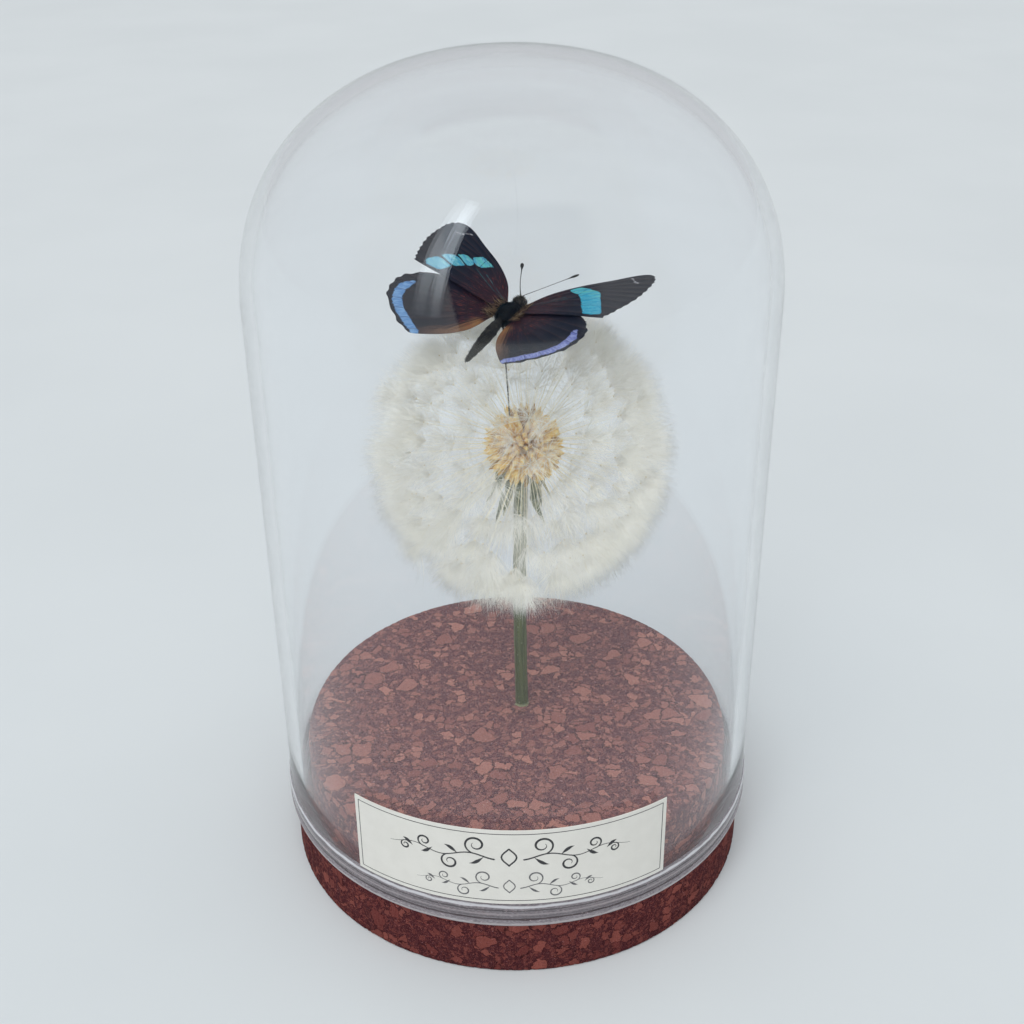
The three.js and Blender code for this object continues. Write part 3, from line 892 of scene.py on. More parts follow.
stem_top = CLOCK_CENTRE + [0, 0, -4.0]
stem_middle = (STEM_FOOT + stem_top) / 2 - [STEM_BOW, 0, 0]
below = STEM_FOOT - [0, 0, 4.0]
stem_path = spline([below, STEM_FOOT, stem_middle, stem_top], 42)
stem_radii = [STEM_RADIUS * (1.0 + 0.05 * math.sin(0.9 * i) * (i % 2)) for i in range(43)]
stalk = sweep([Vector(point) for point in stem_path], stem_radii, sides=40)
points = points_of(stalk) / MM
middle = np.stack([np.interp(points[:, 2], stem_path[:, 2], stem_path[:, k]) for k in (0, 1)], axis=1)
out = points[:, :2] - middle
turn = np.arctan2(out[:, 1], out[:, 0])
ribs = 1 + 0.035 * np.cos(10 * turn) + 0.03 * np.cos(3 * turn + 0.8)
points[:, :2] = middle + out * ribs[:, None]
move_points(stalk, points * MM)
finish_piece(stalk, "green_stalk", [stalk_look], "stem", "flower_stem", smooth=50)

FRAY_COUNT = 46
turn = dice.uniform(0, 2 * math.pi, FRAY_COUNT)
around = np.stack([np.cos(turn), np.sin(turn), np.zeros(FRAY_COUNT)], axis=1)
roots = STEM_FOOT + around * 1.12 + [0, 0, 0.25]
ways = unit(around + [0, 0, 0.1] + dice.normal(0, 0.35, (FRAY_COUNT, 3)))
bends = np.zeros((FRAY_COUNT, 3))
bends[:, 2] = -0.18
fray = bristles("stalk_fray", roots, ways, dice.uniform(0.25, 0.75, FRAY_COUNT), bends,
                dice.uniform(0.08, 0.2, FRAY_COUNT))
finish_piece(fray, "stalk_frayed_foot", [stalk_look], "stem", "flower_stem")

# %% [markdown]
# ## Receptacle and bracts
#
# The seeds stand on a small tan dome. Under it hang the green bracts of the old flower, folded back and
# dried, each with a keel along its middle and curls of its own. One flat strip is shaped into a leaf and
# bent by a formula, once per bract.

# %% Look: receptacle and bracts
head_look, tree, shader, place, grain, colour = mottled_look(
    "dry_receptacle", 1.2, (0.82, 0.60, 0.28, 1), (0.93, 0.76, 0.42, 1), 0.3, 0.7, Roughness=0.85
)
pits = node(tree, "ShaderNodeTexVoronoi", {"Vector": place, "Scale": 1.3}).outputs["Distance"]
colour = cover(tree, colour, (0.60, 0.40, 0.16, 1), pits, 0.3, 0.1)
paint(tree, shader, colour)
set_bump(tree, shader, pits, 0.08, 0.6)

bract_look, tree, shader, place, grain, colour = mottled_look(
    "dried_bract", 0.7, (0.10, 0.12, 0.07, 1), (0.25, 0.26, 0.17, 1), Roughness=0.75
)
colour = cover(tree, colour, (0.34, 0.33, 0.24, 1), grain, 0.6, 0.8)
edge = ramp(tree, attribute(tree, "edge"), 0.72, 1.0)
colour = blend(tree, edge, colour, (0.42, 0.41, 0.32, 1))
paint(tree, shader, colour)
set_bump(tree, shader, grain, 0.04, 0.7)

# %% Receptacle
RECEPTACLE_PROFILE = [
    (1.5, -4.0), (2.6, -2.6), (3.3, -0.8), (3.3, 0.5), (2.6, 1.9), (1.6, 2.7), (0.4, 3.0),
]
profile = spline(RECEPTACLE_PROFILE, 18)
receptacle_path = [Vector(CLOCK_CENTRE + [0, 0, height]) for _, height in profile]
receptacle = sweep(receptacle_path, [radius for radius, _ in profile], sides=36)
finish_piece(receptacle, "seed_receptacle", [head_look], "receptacle", "receptacle", smooth=60)

# %% Bracts
BRACT_COUNT = 12
BRACT_LENGTH = 11.0
BRACT_WIDTH = 1.7
BRACT_SEAT_RADIUS = 2.4
BRACT_SEAT_DROP = -3.0


def bract(number):
    """A narrow leaf along +X, folded down and back, with a keel and a curl of its own."""
    bpy.ops.mesh.primitive_grid_add(x_subdivisions=22, y_subdivisions=6, size=1)
    piece = bpy.context.object
    length = BRACT_LENGTH * (0.86 + 0.14 * math.cos(2.4 * number))
    fold = math.radians(128 + 22 * math.sin(1.7 * number))
    points = points_of(piece)
    along = points[:, 0] + 0.5
    side = points[:, 1] * 2
    width = 0.5 * BRACT_WIDTH * (0.7 + 1.1 * along - 1.72 * along**2)
    turn = fold * np.minimum(1, 2.2 * along)
    reach = length * along
    keel = 0.35 * np.abs(side) * width
    curl = 0.9 * np.maximum(along - 0.55, 0) ** 2 * dice.uniform(-6, 9)
    x = reach * np.cos(turn / 2) * (1 - 0.28 * along) + keel * np.sin(turn) + curl
    z = -reach * np.sin(turn / 2) + keel * np.cos(turn)
    y = side * width + 0.8 * np.sin(3.0 * along + number) * along
    move_points(piece, np.stack([x, y, z], axis=1) * MM)
    set_attribute(piece, "edge", np.maximum(np.abs(side), along**4))
    add_modifier(piece, "SOLIDIFY", thickness=0.14 * MM, offset=0)
    seat = Matrix.Translation(Vector((BRACT_SEAT_RADIUS, 0, BRACT_SEAT_DROP)) * MM)
    around = Matrix.Rotation(2 * math.pi * (number - 1) / BRACT_COUNT, 4, "Z")
    piece.matrix_world = Matrix.Translation(Vector(CLOCK_CENTRE) * MM) @ around @ seat
    finish_piece(piece, f"dried_bract_{number}", [bract_look], "bract", f"bract_{number}", smooth=60)


for number in range(1, BRACT_COUNT + 1):
    bract(number)

# %% [markdown]
# ## Where the seeds point
#
# The 270 seeds stand out from the receptacle in all directions but straight down, where the
# stalk is. Points that turn by the golden angle from one to the next share a sphere out evenly. The
# butterfly lies on top, so anything that would reach above its belly is pressed down under a plane.

# %% Seed directions and the belly plane
SEED_COUNT = 270
LOWEST_SEED = math.radians(168)
GOLDEN_ANGLE = math.pi * (3 - math.sqrt(5))
THORAX_CENTRE = np.array([-0.7, 0.0, 108.4])
HEADING = math.radians(56.6)
NOSE_UP = math.radians(11.5)
LEAN = math.radians(-2.9)
BELLY_CLEARANCE = 3.4

BUTTERFLY = (
    Matrix.Translation(Vector(THORAX_CENTRE) * MM)
    @ Matrix.Rotation(HEADING, 4, "Z")
    @ Matrix.Rotation(-NOSE_UP, 4, "Y")
    @ Matrix.Rotation(LEAN, 4, "X")
)
back_way = np.array(BUTTERFLY.to_3x3() @ Vector((0, 0, 1)))
belly_point = THORAX_CENTRE - BELLY_CLEARANCE * back_way

numbers = np.arange(SEED_COUNT)
down = np.arccos(1 - (1 - math.cos(LOWEST_SEED)) * (numbers + 0.5) / SEED_COUNT)
round_about = numbers * GOLDEN_ANGLE
seed_ways = np.stack(
    [np.sin(down) * np.cos(round_about), np.sin(down) * np.sin(round_about), np.cos(down)], axis=1
)
seed_ways = unit(seed_ways + dice.normal(0, 0.035, seed_ways.shape))
core = CLOCK_CENTRE + [0.5, 0.0, 1.2]


def press_under_belly(points):
    """Points that come near the belly plane or pass it are pressed softly down below it."""
    room = 4.0
    above = (points - belly_point) @ back_way + room
    pressed_to = (room - 0.3) * (1 - np.exp(-np.maximum(above, 0) / (room - 0.3)))
    return points - np.maximum(above - pressed_to, 0)[:, None] * back_way


print(SEED_COUNT, "seeds")

# %% [markdown]
# ## Seeds, beaks and hubs
#
# A seed is a ribbed tan spindle. From its tip a pale beak as thin as a hair carries the parachute, and
# at its end is a small straw-coloured hub. Each is modelled once, with a few dozen faces, and copied to
# every seed with the same array sum.

# %% Looks: seeds and beaks
seed_look, tree, shader, place, grain, colour = mottled_look(
    "tan_seed", 1.4, (0.80, 0.53, 0.15, 1), (0.92, 0.74, 0.34, 1), Roughness=0.7
)
colour = cover(tree, colour, (0.44, 0.25, 0.07, 1), attribute(tree, "tone"), 0.84, 0.94)
# Painted shade: the seeds are painted darker towards their feet, deep in the ball where they crowd.
colour = cover(tree, colour, (0.50, 0.27, 0.07, 1), attribute(tree, "height"), 0.3, 0.0)
paint(tree, shader, colour)
set_bump(tree, shader, grain, 0.05, 0.7)

beak_look, tree, shader = new_look("straw_beak", Roughness=0.6)
patches, grain = add_mottle(tree, object_millimetres(tree), 1.0)
colour = blend(tree, attribute(tree, "height"), (0.90, 0.79, 0.50, 1), (0.96, 0.95, 0.88, 1))
colour = cover(tree, colour, (0.90, 0.85, 0.66, 1), patches, 0.4, 0.8)
paint(tree, shader, colour)

hub_look = mottled_look("brown_hub", 1.5, (0.58, 0.48, 0.30, 1), (0.86, 0.78, 0.58, 1), Roughness=0.7)[0]


# %% Copying one shape to every seed
def copies(name, prototype, starts, ways, lengths, widths):
    """Copies a shape that stands along Z from 0 to 1 to every start, as one mesh."""
    source = points_of(prototype)
    prototype.data.calc_loop_triangles()
    triangles = np.array([list(face.vertices) for face in prototype.data.loop_triangles])
    across, other = sides_of(ways)
    spin = dice.uniform(0, 2 * math.pi, len(ways))[:, None]
    across, other = (across * np.cos(spin) + other * np.sin(spin),
                     other * np.cos(spin) - across * np.sin(spin))
    points = (
        starts[:, None]
        + source[None, :, 0:1] * across[:, None] * widths[:, None, None]
        + source[None, :, 1:2] * other[:, None] * widths[:, None, None]
        + source[None, :, 2:3] * ways[:, None] * lengths[:, None, None]
    ).reshape(-1, 3)
    steps = (len(source) * np.arange(len(ways)))[:, None, None]
    piece = mesh_piece(name, press_under_belly(points), (triangles[None] + steps).reshape(-1, 3))
    set_attribute(piece, "tone", np.repeat(dice.uniform(0, 1, len(ways)), len(source)))
    set_attribute(piece, "height", np.tile(source[:, 2].clip(0, 1), len(ways)))
    bpy.data.objects.remove(prototype)
    start_editing(piece)
    bpy.ops.mesh.select_all(action="SELECT")
    bpy.ops.mesh.normals_make_consistent(inside=False)
    stop_editing()
    return piece


SEED_FOOT = 2.8
SEED_LENGTH = 4.5
HUB_RADIUS = 22.0

seed_shape = sweep(
    [Vector((0, 0, height)) / MM for height in (0.0, 0.12, 0.35, 0.62, 0.82, 0.92, 1.0)],
    [radius / MM for radius in (0.10, 0.26, 0.44, 0.5, 0.40, 0.24, 0.08)],
    sides=8,
)
points = points_of(seed_shape)
turn = np.arctan2(points[:, 1], points[:, 0])
points[:, :2] *= (1 + 0.16 * np.cos(4 * turn))[:, None]
move_points(seed_shape, points)
seed_lengths = SEED_LENGTH * dice.uniform(0.88, 1.08, SEED_COUNT)
seed_starts = core + seed_ways * SEED_FOOT
seeds = copies("seeds", seed_shape, seed_starts, seed_ways, seed_lengths,
               dice.uniform(0.85, 1.2, SEED_COUNT))
finish_piece(seeds, "dandelion_seeds", [seed_look], "receptacle", "seed_ball", smooth=60)

beak_shape = sweep(
    [Vector((0, 0, height)) / MM for height in (0.0, 0.33, 0.66, 1.0)],
    [radius / MM for radius in (0.5, 0.36, 0.32, 0.32)],
    sides=5,
)
hub_radii = HUB_RADIUS + dice.normal(0, 1.1, SEED_COUNT)
hub_starts = CLOCK_CENTRE + seed_ways * hub_radii[:, None] + dice.normal(0, 0.5, (SEED_COUNT, 3))
beak_starts = seed_starts + seed_ways * (0.93 * seed_lengths)[:, None]
beak_lines = hub_starts - beak_starts
beaks = copies("beaks", beak_shape, beak_starts, unit(beak_lines), np.linalg.norm(beak_lines, axis=1),
               np.full(SEED_COUNT, 0.10))
finish_piece(beaks, "seed_beaks", [beak_look], "seed_fluff", "seed_ball", smooth=60)

hub_shape = sweep(
    [Vector((0, 0, height)) / MM for height in (0.0, 0.4, 1.0)],
    [radius / MM for radius in (0.2, 0.5, 0.25)],
    sides=6,
)
hub_ways = unit(beak_lines)
hubs = copies("hubs", hub_shape, hub_starts, hub_ways, np.full(SEED_COUNT, 0.3),
              dice.uniform(0.3, 0.42, SEED_COUNT))
finish_piece(hubs, "parachute_hubs", [hub_look], "seed_fluff", "seed_ball", smooth=60)

# %% [markdown]
# ## Down
#
# Each parachute is a tuft of silky hairs that leave the hub in a wide cup and bend outwards at their
# tips. Hairs cling together in strands, and each strand ends at a length of its own, so the rim of the
# clock has small wisps. The hairs go into a few pieces of their own, because one mesh of all of them
# would be too heavy. Real down is finer than a mesh can be and hardly casts a shadow, so most of the
# light that meets a hair on its way to the next one goes on through it.

# %% Look: down
down_look, tree, shader, place, grain, colour = mottled_look(
    "silky_down", 0.16, (0.99, 0.97, 0.87, 1), (0.998, 0.985, 0.92, 1), Roughness=0.55,
    Specular_IOR_Level=0.3
)
colour = cover(tree, colour, (0.90, 0.85, 0.70, 1), attribute(tree, "tone"), 0.85, 1.0)
from_middle = vector_maths(tree, "DISTANCE", place, tuple(CLOCK_CENTRE))
colour = cover(tree, colour, (0.99, 0.945, 0.73, 1), from_middle, 23.0, 14.0)
paint(tree, shader, colour)
let_light_through(tree, shader, (0.998, 0.995, 0.985, 1), 0.94)

# %% Down
HAIRS_PER_TUFT = 250
STRANDS_PER_TUFT = 14
DOWN_REACH = 29.8
DOWN_PIECES = 6
HAIR_LENGTHS = (6.0, 12.0)
HAIR_WIDTHS = (0.017, 0.028)
THICK_SHARE = 0.16  # hairs that clung together and look like one thick one
THICK_TIMES = 2.5
STRAND_DEPTH = 2.8  # how far short of the rim a strand may end


def around_axis(axis, spread, turn):
    """Directions at an angle from an axis, turned round it."""
    across, other = sides_of(axis)
    outward = across * np.cos(turn)[:, None] + other * np.sin(turn)[:, None]
    return axis * np.cos(spread)[:, None] + outward * np.sin(spread)[:, None]


def tuft_hairs(which):
    """Roots, ways, lengths, bends and widths for all the hairs of these seeds."""
    strand_axis = np.repeat(hub_ways[which], STRANDS_PER_TUFT, axis=0)
    strand_spread = np.radians(dice.uniform(6, 68, len(strand_axis)))
    strands = around_axis(strand_axis, strand_spread, dice.uniform(0, 2 * math.pi, len(strand_axis)))
    strands = strands.reshape(len(which), STRANDS_PER_TUFT, 3)

    owner = np.repeat(np.arange(len(which)), HAIRS_PER_TUFT)
    count = len(owner)
    axis = hub_ways[which][owner]
    spread = np.radians(84 * dice.uniform(0, 1, count) ** 0.6)
    free = around_axis(axis, spread, dice.uniform(0, 2 * math.pi, count))
    chosen = dice.integers(0, STRANDS_PER_TUFT, count)
    strand = strands[owner, chosen]
    ways = unit(free + strand * 0.75)
    lengths = dice.uniform(*HAIR_LENGTHS, count)
    tip_ways = unit(strand * 1.2 + free * 0.2 + axis * 0.4)
    bends = (tip_ways - ways) * (0.45 * lengths)[:, None] + dice.normal(0, 0.25, (count, 3))
    first = dice.uniform(0.1, 2.6, count)
    roots = hub_starts[which][owner] + ways * first[:, None]
    tips = roots + ways * lengths[:, None] + bends - CLOCK_CENTRE
    distance = np.linalg.norm(tips, axis=1)
    hanging = (-tips[:, 2] / distance - 0.6).clip(0, 0.25) * 8.0
    short = STRAND_DEPTH * np.sqrt(dice.uniform(0, 1, (len(which), STRANDS_PER_TUFT)))[owner, chosen]
    over = distance - DOWN_REACH - hanging + short + np.abs(dice.normal(0, 0.4, count))
    widths = dice.uniform(*HAIR_WIDTHS, count)
    widths = widths * np.where(dice.uniform(0, 1, count) < THICK_SHARE, THICK_TIMES, 1.0)
    return roots, ways, lengths - np.maximum(over, 0), bends, widths


for number, which in enumerate(np.array_split(dice.permutation(SEED_COUNT), DOWN_PIECES), 1):
    roots, ways, lengths, bends, widths = tuft_hairs(which)
    tufts = bristles(f"down_{number}", roots, ways, lengths, bends, widths, taper=0.3,
                     limit=press_under_belly)
    finish_piece(tufts, f"parachute_down_{number}", [down_look], "seed_fluff", "seed_ball")

# %% [markdown]
# ## Wire
#
# A dark steel wire runs from the top of the receptacle up into the butterfly's belly.

# %% Wire
wire_look = mottled_look(
    "dark_wire", 1.0, (0.035, 0.032, 0.03, 1), (0.11, 0.10, 0.095, 1), stretch=(1.0, 1.0, 0.2),
    Metallic=0.8, Roughness=0.4
)[0]
wire_foot = CLOCK_CENTRE + [-1.7, -0.4, 3.2]
wire_top = np.array(BUTTERFLY @ (Vector((-2.0, 0, -1.3)) * MM)) / MM
wire_path = [Vector(point) for point in np.linspace(wire_foot, wire_top, 8)]
wire = sweep(wire_path, [0.14] * 8, sides=10)
finish_piece(wire, "mount_wire", [wire_look], "pin_wire", "mounting_pin", smooth=60)

# %% [markdown]
# ## Wings: outlines, veins and markings
#
# Wings are drawn in their own plane, as (ahead, out) from the root. Front edge, scalloped outer edge and
# back edge are splines through a few points. Veins fan out from the root, and each marking is a rounded
# shape in that plane: the turquoise band is four cells between veins on the left wing and one long patch
# on the right, the white streak is a line, and the hindwing's blue band is a line of its own width.

# %% Wing drawings
FOREWING = {
    "front": [(1.3, 0.6), (4.4, 2.8), (6.7, 5.4), (8.6, 8.4), (10.5, 12.4), (12.4, 16.2), (12.8, 18.4),
              (12.2, 19.85)],
    "outer": [(12.2, 19.85), (10.7, 20.8), (8.9, 21.05), (6.5, 21.1), (4.2, 20.85), (1.6, 20.1),
              (-0.3, 19.4), (-1.9, 18.65)],
    "back": [(-1.9, 18.65), (-2.05, 16), (-1.95, 10), (-1.85, 4), (-1.5, 0.6)],
    "veins": [
        [(0.5, 0.3), (3.4, 2.9), (6.1, 5.9), (8.9, 10.9), (10.9, 16.2), (11.3, 20.1)],
        [(0.3, 0.3), (2.9, 3.4), (5.2, 6.6), (6.9, 9.4), (8.8, 14.4), (9.9, 20.9)],
        [(6.9, 9.4), (7.7, 14.2), (8.2, 21.0)],
        [(5.8, 9.3), (6.5, 14.6), (6.6, 21.0)],
        [(6.9, 9.4), (5.8, 9.3), (4.0, 8.9), (3.3, 8.2)],
        [(0.1, 0.3), (1.6, 4.0), (3.3, 8.2), (4.3, 9.9), (5.2, 12.4), (5.1, 20.9)],
        [(2.5, 6.3), (2.9, 11.3), (3.7, 14.4), (3.3, 20.5)],
        [(1.2, 3.2), (0.75, 8.5), (0.95, 12.6), (1.35, 15.6), (1.2, 19.9)],
        [(-0.3, 0.3), (-1.0, 5.0), (-1.2, 12.0), (-1.1, 18.7)],
    ],
    "scallops": 11,
}
HINDWING = {
    "front": [(1.1, 0.6), (2.2, 4), (1.9, 9), (0.2, 13.5), (-1.9, 16.1)],
    "outer": [(-1.9, 16.1), (-3.4, 17.3), (-4.9, 17.8), (-6.7, 17.75), (-8.6, 17.2), (-10.3, 16),
              (-12.6, 12.9), (-13.9, 10.7), (-14.45, 8.6)],
    "back": [(-14.45, 8.6), (-14.2, 7.2), (-11.2, 4), (-8.9, 2.2), (-6.8, 1.1), (-4.8, 0.6)],
    "veins": [
        [(0.2, 0.3), (1.1, 5.5), (0.4, 11.5), (-1.5, 15.9)],
        [(0.0, 0.3), (-0.4, 3.6), (-1.4, 9.2), (-3.4, 17.1)],
        [(-0.4, 3.6), (-3.2, 10.5), (-5.3, 17.6)],
        [(-2.7, 4.7), (-5.0, 10.8), (-7.8, 17.3)],
        [(-0.4, 3.6), (-1.5, 4.6), (-2.7, 4.7), (-3.6, 4.2)],
        [(-0.3, 0.3), (-1.9, 2.4), (-3.6, 4.2), (-6.8, 10.0), (-9.9, 16.0)],
        [(-3.6, 4.2), (-8.1, 8.8), (-11.6, 13.9)],
        [(-2.4, 2.9), (-8.4, 6.6), (-13.1, 11.7)],
        [(-0.5, 0.4), (-5.0, 2.0), (-9.6, 4.4), (-14.1, 8.4)],
    ],
    "scallops": 7,
}
# Turquoise cells as outlines of (out, ahead) points. The right wing's cells run into one another.
LEFT_BAND = [
    [(16.85, -0.85), (17.0, -0.15), (16.25, 1.05), (15.75, 1.45), (15.0, 1.45), (12.9, 1.0), (13.0, 0.5),
     (13.25, -0.15), (13.5, -0.95), (14.0, -1.35), (15.15, -1.45), (16.3, -1.35)],
    [(15.8, 2.4), (15.6, 2.9), (14.15, 4.0), (13.15, 3.85), (11.25, 3.05), (11.75, 2.35), (12.6, 1.45),
     (13.8, 1.75)],
    [(13.85, 4.6), (13.0, 5.4), (12.25, 5.45), (11.0, 5.0), (10.4, 4.35), (10.5, 3.75), (11.0, 3.35),
     (12.9, 4.25)],
    [(11.4, 5.8), (11.25, 6.3), (10.55, 7.25), (9.7, 7.2), (8.7, 6.9), (7.5, 6.5), (8.25, 5.75),
     (8.6, 5.2), (9.0, 4.65), (9.9, 4.6), (10.75, 5.1)],
]
RIGHT_BAND = [
    [(6.4, 6.25), (6.65, 6.9), (7.4, 7.2), (8.45, 7.3), (9.9, 6.95), (11.3, 6.4), (12.75, 5.85),
     (13.6, 4.85), (14.2, 3.85), (15.4, 2.3), (16.3, 0.95), (17.3, -0.4), (17.5, -1.1), (16.25, -1.3),
     (14.4, -1.35), (13.95, -0.65), (12.9, 0.5), (11.75, 2.05), (10.8, 3.25), (9.55, 4.4), (8.9, 5.1),
     (8.2, 5.3), (7.2, 5.65)],
]
WHITE_STREAK = [(15.6, 11.3), (16.3, 10.9), (16.75, 10.35), (18.1, 9.65)]
BLUE_BAND = [(15.3, -4.1), (15.85, -5.8), (15.7, -7.5), (15.0, -9.05), (13.7, -10.4), (12.1, -11.5),
             (10.3, -12.45), (8.7, -13.25), (7.6, -13.85)]
TEAL_LINES = [[(0.5, 0.4), (5.6, 2.1), (9.4, 3.8)], [(0.5, 0.6), (4.3, 2.4), (7.2, 3.9)]]
SCALLOP_DEPTH = 0.26


def wing_edge(wing):
    """The wing's edge from the front root round to the back root, as (ahead, out) points."""
    count = 14 * wing["scallops"]
    outer = spline(wing["outer"], count)
    along = unit(np.gradient(outer, axis=0))
    dip = SCALLOP_DEPTH * np.sin(math.pi * np.arange(count + 1) / 14)[:, None] ** 2
    outer = outer + dip * np.stack([-along[:, 1], along[:, 0]], axis=1)
    return np.concatenate([spline(wing["front"], 56)[:-1], outer[:-1], spline(wing["back"], 50)])


def distance_to_line(points, line):
    """How far each point is from a line of straight stretches."""
    nearest = np.full(len(points), np.inf)
    for a, b in zip(line[:-1], line[1:]):
        span = b - a
        t = (((points - a) @ span) / max(span @ span, 1e-12)).clip(0, 1)
        nearest = np.minimum(nearest, np.linalg.norm(points - a - t[:, None] * span, axis=1))
    return nearest


def depth_in_outline(points, outline):
    """Distance to a closed outline, below zero inside it."""
    closed = np.concatenate([outline, outline[:1]])
    crossings = np.zeros(len(points), int)
    for a, b in zip(closed[:-1], closed[1:]):
        between = (a[1] > points[:, 1]) != (b[1] > points[:, 1])
        reach = a[0] + (points[:, 1] - a[1]) * (b[0] - a[0]) / (b[1] - a[1] + 1e-12)
        crossings += between & (points[:, 0] < reach)
    return np.where(crossings % 2 == 1, -1, 1) * distance_to_line(points, closed)


print("forewing edge has", len(wing_edge(FOREWING)), "points")

# %% [markdown]
# ## Wings: the look
#
# A wing is covered in scales like roof tiles, in rows that run out from the root. Most are velvety black
# with a maroon glow near the body. The markings come from distances that the mesh carries as attributes:
# a threshold on a distance gives a crisp edge, and a little noise added first makes it ragged, as scales
# leave it. The underside is duller, and has its own material.


# %% Look: wings
def wing_look(name, top):
    look, tree, shader = new_look(name, Roughness=0.6, Specular_IOR_Level=0.14)
    plane = attribute(tree, "plane", "Vector")
    split = node(tree, "ShaderNodeSeparateXYZ", {"Vector": plane})
    out, ahead = split.outputs["X"], split.outputs["Y"]
    radius = vector_maths(tree, "LENGTH", plane)
    angle = maths(tree, "ARCTAN2", ahead, out)
    fan = node(tree, "ShaderNodeCombineXYZ", {"X": maths(tree, "MULTIPLY", angle, 26.0), "Y": radius})
    patches, grain = add_mottle(tree, plane, 0.45)
    rows, fine_rows = add_mottle(tree, fan.outputs[0], 1.0, (1.0, 0.22, 1.0))
    strokes = add_mottle(tree, fan.outputs[0], 2.4, (1.0, 0.22, 1.0))[0]
    ragged = maths(tree, "MULTIPLY_ADD", strokes, 0.6, -0.3)

    def marking(distance, wide, rough=1.0):
        """1 inside a marking whose edge is at this distance, with a ragged rim."""
        value = maths(tree, "MULTIPLY_ADD", ragged, rough, attribute(tree, distance))
        return ramp(tree, value, wide + 0.07, wide - 0.07)

    dark = (0.006, 0.008, 0.016, 1) if top else (0.035, 0.022, 0.016, 1)
    glow = (0.023, 0.010, 0.015, 1) if top else (0.075, 0.042, 0.026, 1)
    near_root = ramp(tree, maths(tree, "MULTIPLY_ADD", patches, 9.0, radius), 17.0, 8.0)
    colour = blend(tree, near_root, dark, glow)
    pale_rows = maths(tree, "MULTIPLY", ramp(tree, rows, 0.5, 0.75), 0.18)
    colour = blend(tree, pale_rows, colour, (0.045, 0.032, 0.04, 1))
    tan_reach = maths(tree, "MULTIPLY_ADD", rows, 2.8, attribute(tree, "inner"))
    tan = maths(tree, "MULTIPLY", ramp(tree, tan_reach, 3.7, 1.7), ramp(tree, radius, 17.5, 9.0))
    tan_tone = blend(tree, ramp(tree, radius, 11.0, 3.0), (0.15, 0.085, 0.055, 1), (0.26, 0.13, 0.05, 1))
    tan_tone = cover(tree, tan_tone, (0.05, 0.022, 0.014, 1), fine_rows, 0.55, 0.75)
    colour = blend(tree, tan, colour, tan_tone)
    vein = maths(tree, "MULTIPLY", ramp(tree, attribute(tree, "vein"), 0.14, 0.05), 0.5)
    colour = blend(tree, vein, colour, (0.045, 0.025, 0.024, 1))
    if top:
        teal = maths(tree, "MULTIPLY", ramp(tree, attribute(tree, "teal"), 0.13, 0.05),
                     ramp(tree, strokes, 0.42, 0.6))
        colour = blend(tree, maths(tree, "MULTIPLY", teal, 0.8), colour, (0.025, 0.15, 0.17, 1))
        embers = maths(tree, "MULTIPLY", ramp(tree, strokes, 0.58, 0.66), ramp(tree, radius, 10.5, 6.0))
        colour = blend(tree, maths(tree, "MULTIPLY", embers, 0.75), colour, (0.20, 0.045, 0.03, 1))
    strength = 1.0 if top else 0.45
    shine = ramp(tree, strokes, 0.42, 0.62)
    deep = blend(tree, attribute(tree, "lilac"), (0.055, 0.29, 0.44, 1), (0.020, 0.29, 0.45, 1))
    pale = blend(tree, attribute(tree, "lilac"), (0.21, 0.47, 0.47, 1), (0.055, 0.38, 0.50, 1))
    turquoise = blend(tree, shine, deep, pale)
    greener = maths(tree, "MULTIPLY", ramp(tree, ahead, 2.8, 5.8), ramp(tree, rows, 0.42, 0.6))
    turquoise = blend(tree, greener, turquoise, (0.11, 0.47, 0.45, 1))
    turquoise = cover(tree, turquoise, (0.03, 0.20, 0.28, 1), fine_rows, 0.6, 0.75)
    turquoise = cover(tree, turquoise, (0.26, 0.58, 0.58, 1), grain, 0.62, 0.76)
    mask = maths(tree, "MULTIPLY", marking("band", 0.0), strength)
    colour = blend(tree, mask, colour, turquoise)
    blue = blend(tree, attribute(tree, "lilac"), (0.080, 0.225, 0.45, 1), (0.14, 0.16, 0.40, 1))
    pale_blue = blend(tree, attribute(tree, "lilac"), (0.17, 0.36, 0.58, 1), (0.29, 0.32, 0.56, 1))
    blue = blend(tree, shine, blue, pale_blue)
    tick = maths(tree, "MULTIPLY", ramp(tree, attribute(tree, "vein"), 0.2, 0.05), 0.5)
    blue = blend(tree, tick, blue, (0.03, 0.045, 0.14, 1))
    mask = maths(tree, "MULTIPLY", marking("blue", 0.0, 1.7), strength)
    colour = blend(tree, mask, colour, blue)
    mask = maths(tree, "MULTIPLY", marking("streak", 0.0), strength)
    colour = blend(tree, mask, colour, (0.60, 0.60, 0.63, 1))
    paint(tree, shader, colour)
    tree.links.new(maths(tree, "MULTIPLY_ADD", fine_rows, 0.25, 0.48), shader.inputs["Roughness"])
    set_bump(tree, shader, maths(tree, "ADD", fine_rows, rows), 0.02, 0.15)
    return look


wing_top_look = wing_look("wing_upperside", True)
wing_under_look = wing_look("wing_underside", False)

# %% [markdown]
# ## Wings: the shape
#
# A grid becomes a fan: one of its sides shrinks to the root and the opposite side follows the wing's
# edge. The sheet is domed a little and pleated along the veins, then gets its thickness. The veins are
# real ridges, thin tapering rods that lie in the sheet and stand proud of both faces.

# %% Wing placing
WING_HINGE = 1.575
FOREWING_AHEAD = 1.8
LEFT_RAISE = math.radians(21.8)
RIGHT_RAISE = math.radians(9.7)
WING_THICKNESS = 0.08
PLATE_MIDDLE = 0.15  # the CAD plate is 0.3 mm thick, and the wing lies in its middle


